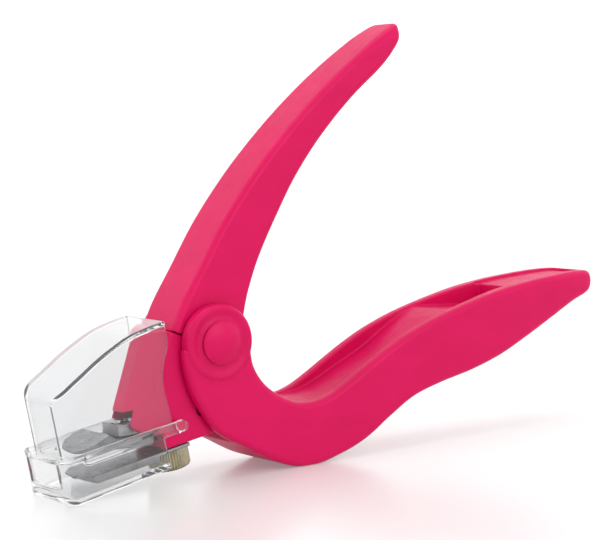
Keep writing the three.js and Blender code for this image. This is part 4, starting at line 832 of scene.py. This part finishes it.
def catcher_tray(x, y, z):
    """Tray with a nail slot in its front, and two arms whose hooks slide along the head."""
    wide = np.abs(y)
    hollow_top = TRAY_TOP - CATCHER_WALL
    hollow = tray_block(CATCHER_WALL, hollow_top, FAR, x, wide, z)
    shell = cut(tray_block(0, TRAY_TOP, -TRAY_REAR, x, wide, z), hollow, CLEAR_EDGE)
    shell = cut(shell, meet(cover_plan(GAP, x, wide), hollow_top - GAP - z), CLEAR_EDGE)
    rail_height = block(TRAY_TOP - RAIL_HEIGHT, TRAY_TOP, z)
    arm_side = meet(rail_height, block(TRAY_CORNER - CATCHER_REACH, -ARM_REAR, x), RAIL_END_ROUND)
    arms = meet(arm_side, block(COVER_REAR_HALF_WIDTH + GAP, TRAY_HALF_WIDTH + RAIL_PROUD, wide), TRAY_ROUND)
    hook_side = meet(rail_height, block(cover_foot_x + GAP, -ARM_REAR, x), RAIL_END_ROUND)
    hooks = meet(hook_side, block(HEAD_HALF_WIDTH + RUN_GAP, TRAY_HALF_WIDTH, wide), TRAY_ROUND)
    body = merge(merge(shell, arms, ARM_FILLET), hooks)
    slot = meet(block(NAIL_SLOT_FOOT, NAIL_SLOT_TOP, z), wide - NAIL_SLOT_HALF_WIDTH, NAIL_SLOT_ROUND)
    body = cut(body, meet(slot, x + CATCHER_REACH), NAIL_SLOT_EDGE)
    groove_half = PIP_RADIUS + GAP
    groove = meet(block(PIP_PLACE[1] - groove_half, PIP_PLACE[1] + groove_half, z),
                  wide - HEAD_HALF_WIDTH - PIP_PROUD - GAP)
    return cut(body, meet(groove, PIP_PLACE[0] - groove_half - x), BORE_ROUND)


def add_field_pieces():
    field_piece("upper_handle_skin", upper_handle, UPPER_SPAN, HANDLE_STEP, UPRIGHT,
                "frame", "pink_plastic", "upper_handle")
    field_piece("lower_handle_skin", lower_handle, LOWER_SPAN, HANDLE_STEP, UPRIGHT,
                "lever", "pink_plastic", "lower_handle")
    field_piece("head_skin", head_housing, HEAD_SPAN, HEAD_STEP, HEAD,
                "frame", "pink_plastic", "head_housing")
    field_piece("upper_blade_ground", upper_blade, UPPER_BLADE_SPAN, BLADE_STEP, CARRIER,
                "rocker", "blade_steel", "upper_blade")
    field_piece("lower_blade_ground", lower_blade, LOWER_BLADE_SPAN, BLADE_STEP, HEAD,
                "frame", "blade_steel", "lower_blade")
    cover = field_piece("cover_shell", catcher_cover, COVER_SPAN, CLEAR_STEP, HEAD,
                        "catcher", "clear_plastic", "catcher_cover")
    tray = field_piece("tray_shell", catcher_tray, TRAY_SPAN, CLEAR_STEP, HEAD,
                       "catcher", "clear_plastic", "catcher_tray")
    for piece in (cover, tray):
        piece.visible_shadow = False


# Turned pieces
def add_pivot_caps():
    """Two domed caps with a short straight rim."""
    rise = CAP_HEIGHT - CAP_RIM
    dome = (CAP_RADIUS**2 + rise**2) / (2 * rise)
    crown_angle = math.asin(CAP_RADIUS / dome) * cap_crown_share
    crown = [(dome * math.sin(a), CAP_HEIGHT - dome * (1 - math.cos(a)))
             for a in np.linspace(crown_angle, 0, CROWN_STEPS)]
    profile = [
        (0, 0), (CAP_RADIUS - CAP_EDGE, 0), (CAP_RADIUS, CAP_EDGE), (CAP_RADIUS, CAP_RIM * cap_rim_share),
        *crown[:-1], (0, CAP_HEIGHT),
    ]
    points, faces = revolved(profile, ROUND_STEPS)
    for name, side in (("near", -1), ("far", 1)):
        outward = side * (BOSS_FACE + GAP + points[:, 2])
        lifted = np.column_stack([points[:, 0], outward, -side * points[:, 1]])
        new_piece(f"cap_dome_{name}", lifted, faces, UPRIGHT, "frame", "pink_plastic", f"pivot_cap_{name}")


def add_thumbscrew():
    """Knob with rounded knurls that fade out at its chamfers, and its stud."""
    low = -KNOB_HEIGHT
    foot_round = arc((KNOB_RADIUS - KNOB_ROUND, low + KNOB_ROUND), KNOB_ROUND, -90, 0, CORNER_STEPS)
    profile = [
        (0, low), (KNOB_RADIUS - KNOB_ROUND - KNOB_FACE_MARGIN, low), *foot_round,
        (KNOB_RADIUS, low + KNOB_ROUND + KNURL_FOOT), (KNOB_RADIUS, -KNURL_TOP),
        (KNOB_RADIUS, -KNOB_CHAMFER), (KNOB_RADIUS - KNOB_CHAMFER, 0),
        (STUD_RADIUS + STUD_CHAMFER, 0), (STUD_RADIUS, STUD_CHAMFER),
        (STUD_RADIUS, STUD_TOP - STUD_CHAMFER), (STUD_RADIUS - STUD_CHAMFER, STUD_TOP), (0, STUD_TOP),
    ]

    def radius_at(radius, height, angle):
        if radius < KNOB_RADIUS - KNURL_REACH or height > -KNURL_END:
            return radius
        ripple = (1 - math.cos(KNURL_COUNT * angle)) / 2
        return radius - KNURL_DEPTH * ripple**KNURL_SHARPNESS

    points, faces = revolved(profile, STEPS_PER_KNURL * KNURL_COUNT, radius_at)
    new_piece("thumbscrew_knurled", points, faces, KNOB, "knob", "knob_nickel", "thumbscrew")


def spring_path():
    """Straight leg, coils and straight leg round the pivot."""
    y_start = (SLOT_HALF_WIDTH - SPRING_TURNS * SPRING_PITCH) / 2

    def on_coil(turn):
        angle = SPRING_START + turn * 2 * math.pi
        y = y_start + SPRING_PITCH * turn
        return np.array([SPRING_RADIUS * math.cos(angle), y, SPRING_RADIUS * math.sin(angle)])

    heading = np.array([-math.sin(SPRING_START), 0, math.cos(SPRING_START)])
    moving_shares = np.linspace(1, 0, MOVING_LEG_STEPS, endpoint=False)
    moving_leg = [on_coil(0) - heading * SPRING_MOVING_LEG * share for share in moving_shares]
    coil = [on_coil(turn) for turn in np.linspace(0, SPRING_TURNS, STEPS_PER_TURN * SPRING_TURNS)]
    fixed_shares = np.linspace(0, 1, FIXED_LEG_STEPS)[1:]
    fixed_leg = [on_coil(SPRING_TURNS) + heading * SPRING_FIXED_LEG * share for share in fixed_shares]
    return moving_leg + coil + fixed_leg


def add_spring():
    points, faces = tube(spring_path(), SPRING_WIRE / 2, WIRE_SIDES)
    new_piece("handle_spring_wire", points, faces, UPRIGHT, "frame", "spring_steel", "handle_spring")


def dress_cad_nodes():
    """The inner pieces keep their CAD meshes, with eased edges and their own finish."""
    slots = {entry["node"]: entry["material_slot"] for entry in frame["record"]["subparts"]}
    for name, node in frame["nodes"].items():
        if node.hide_render:
            continue
        for index in range(max(len(node.material_slots), 1)):
            if len(node.material_slots) <= index:
                node.data.materials.append(None)
            node.material_slots[index].link = "OBJECT"
            node.material_slots[index].material = materials[slots[name]]
        eased = node.modifiers.new("eased", "BEVEL")
        eased.width = EASED_WIDTH * MM
        eased.segments = EASED_SEGMENTS
        eased.limit_method = "ANGLE"
        eased.angle_limit = EASED_ANGLE
        eased.harden_normals = False


# Camera, light and floor. Lights and the stage are in metres.
CAMERA_FROM_PIVOT = (-232.66, -377.9, 56.47)
CAMERA_AZIMUTH = math.radians(-34.86)
CAMERA_ELEVATION = math.radians(5.313)
CAMERA_ROLL = math.radians(-2.22)
FOCAL_LENGTH, SENSOR_WIDTH = 114.0, 36.0
CLIP_START, CLIP_END = 0.01, 20.0
LIGHT_TARGET = (0, 0, 0.04)
WORLD_STRENGTH = 0.5
FLOOR_RADIUS, WALL_RADIUS, WALL_HEIGHT, BACKDROP_DROP = 2.5, 4.0, 3.5, 0.01
FLOOR_DROP = 0.02


def add_camera():
    data = bpy.data.cameras.new("camera")
    data.lens, data.sensor_width = FOCAL_LENGTH, SENSOR_WIDTH
    data.clip_start, data.clip_end = CLIP_START, CLIP_END
    camera = bpy.data.objects.new("camera", data)
    bpy.context.scene.collection.objects.link(camera)
    a, e, r = CAMERA_AZIMUTH, CAMERA_ELEVATION, CAMERA_ROLL
    back = Vector((math.sin(a) * math.cos(e), -math.cos(a) * math.cos(e), math.sin(e)))
    level = Vector((math.cos(a), math.sin(a), 0))
    above = back.cross(level)
    right = level * math.cos(r) + above * math.sin(r)
    up = back.cross(right)
    turn = Matrix((right, up, back)).transposed().to_4x4()
    place = Vector(joint_place("handle_squeeze")) + Vector(CAMERA_FROM_PIVOT)
    camera.matrix_world = Matrix.Translation(place * MM) @ turn
    bpy.context.scene.camera = camera


def add_area(name, place, size, power):
    """A softbox that faces the object."""
    data = bpy.data.lights.new(name, "AREA")
    data.shape = "RECTANGLE"
    data.size, data.size_y = size
    data.energy = power
    lamp = bpy.data.objects.new(name, data)
    bpy.context.scene.collection.objects.link(lamp)
    lamp.location = place
    lamp.rotation_mode = "QUATERNION"
    lamp.rotation_quaternion = (Vector(place) - Vector(LIGHT_TARGET)).to_track_quat("Z", "Y")


def add_light():
    world = bpy.data.worlds.new("studio")
    world.use_nodes = True
    background = world.node_tree.nodes["Background"]
    background.inputs["Color"].default_value = (1, 1, 1, 1)
    background.inputs["Strength"].default_value = WORLD_STRENGTH
    bpy.context.scene.world = world
    add_area("top_box", place=(0.0, 0.1, 0.9), size=(1.0, 0.8), power=4)
    add_area("left_box", place=(-0.9, 0.15, 0.45), size=(0.7, 0.7), power=1.6)
    add_area("front_box", place=(0.1, -0.9, 0.5), size=(0.5, 0.4), power=2.2)


def stage_piece(name, profile, colour, glow, gloss):
    """A pale surface turned about Z, open at its outer end, that isn't part of the object."""
    points, faces = revolved([*profile, (0, profile[-1][1])], STAGE_STEPS)
    mesh = bpy.data.meshes.new(name)
    mesh.from_pydata(points.tolist(), [], [f for f in faces if len(points) - 1 not in f])
    mesh.polygons.foreach_set("use_smooth", [True] * len(mesh.polygons))
    finish = Finish(f"{name}_finish", colour, gloss)
    finish.sockets["Emission Color"].default_value = (1, 1, 1, 1)
    finish.sockets["Emission Strength"].default_value = glow
    finish.vary("Roughness", finish.noise(scale=3, detail=2), low=gloss * 0.95, high=gloss * 1.05)
    mesh.materials.append(finish.material)
    piece = bpy.data.objects.new(name, mesh)
    bpy.context.scene.collection.objects.link(piece)
    piece.location.z = cad_low.z - FLOOR_DROP * MM


def add_floor():
    """A pale satin floor, and a backdrop that curves up all round, far from the object."""
    bend = WALL_RADIUS - FLOOR_RADIUS
    curve = arc((FLOOR_RADIUS, bend), bend, -90, 0, BACKDROP_STEPS)
    disc_profile = [(0, 0), (FLOOR_RADIUS / 2, 0), (FLOOR_RADIUS, 0)]
    bowl_profile = [
        (0, -BACKDROP_DROP), (FLOOR_RADIUS - BACKDROP_DROP, -BACKDROP_DROP), *curve,
        (WALL_RADIUS, WALL_HEIGHT),
    ]
    stage_piece("floor", disc_profile, colour=(0.6, 0.6, 0.6), glow=0.18, gloss=0.24)
    stage_piece("backdrop", bowl_profile, colour=(0.8, 0.8, 0.8), glow=0.52, gloss=0.6)


add_camera()
add_light()
add_floor()
add_field_pieces()
add_pivot_caps()
add_thumbscrew()
add_spring()
dress_cad_nodes()
bpy.context.scene.view_settings.view_transform = "Standard"
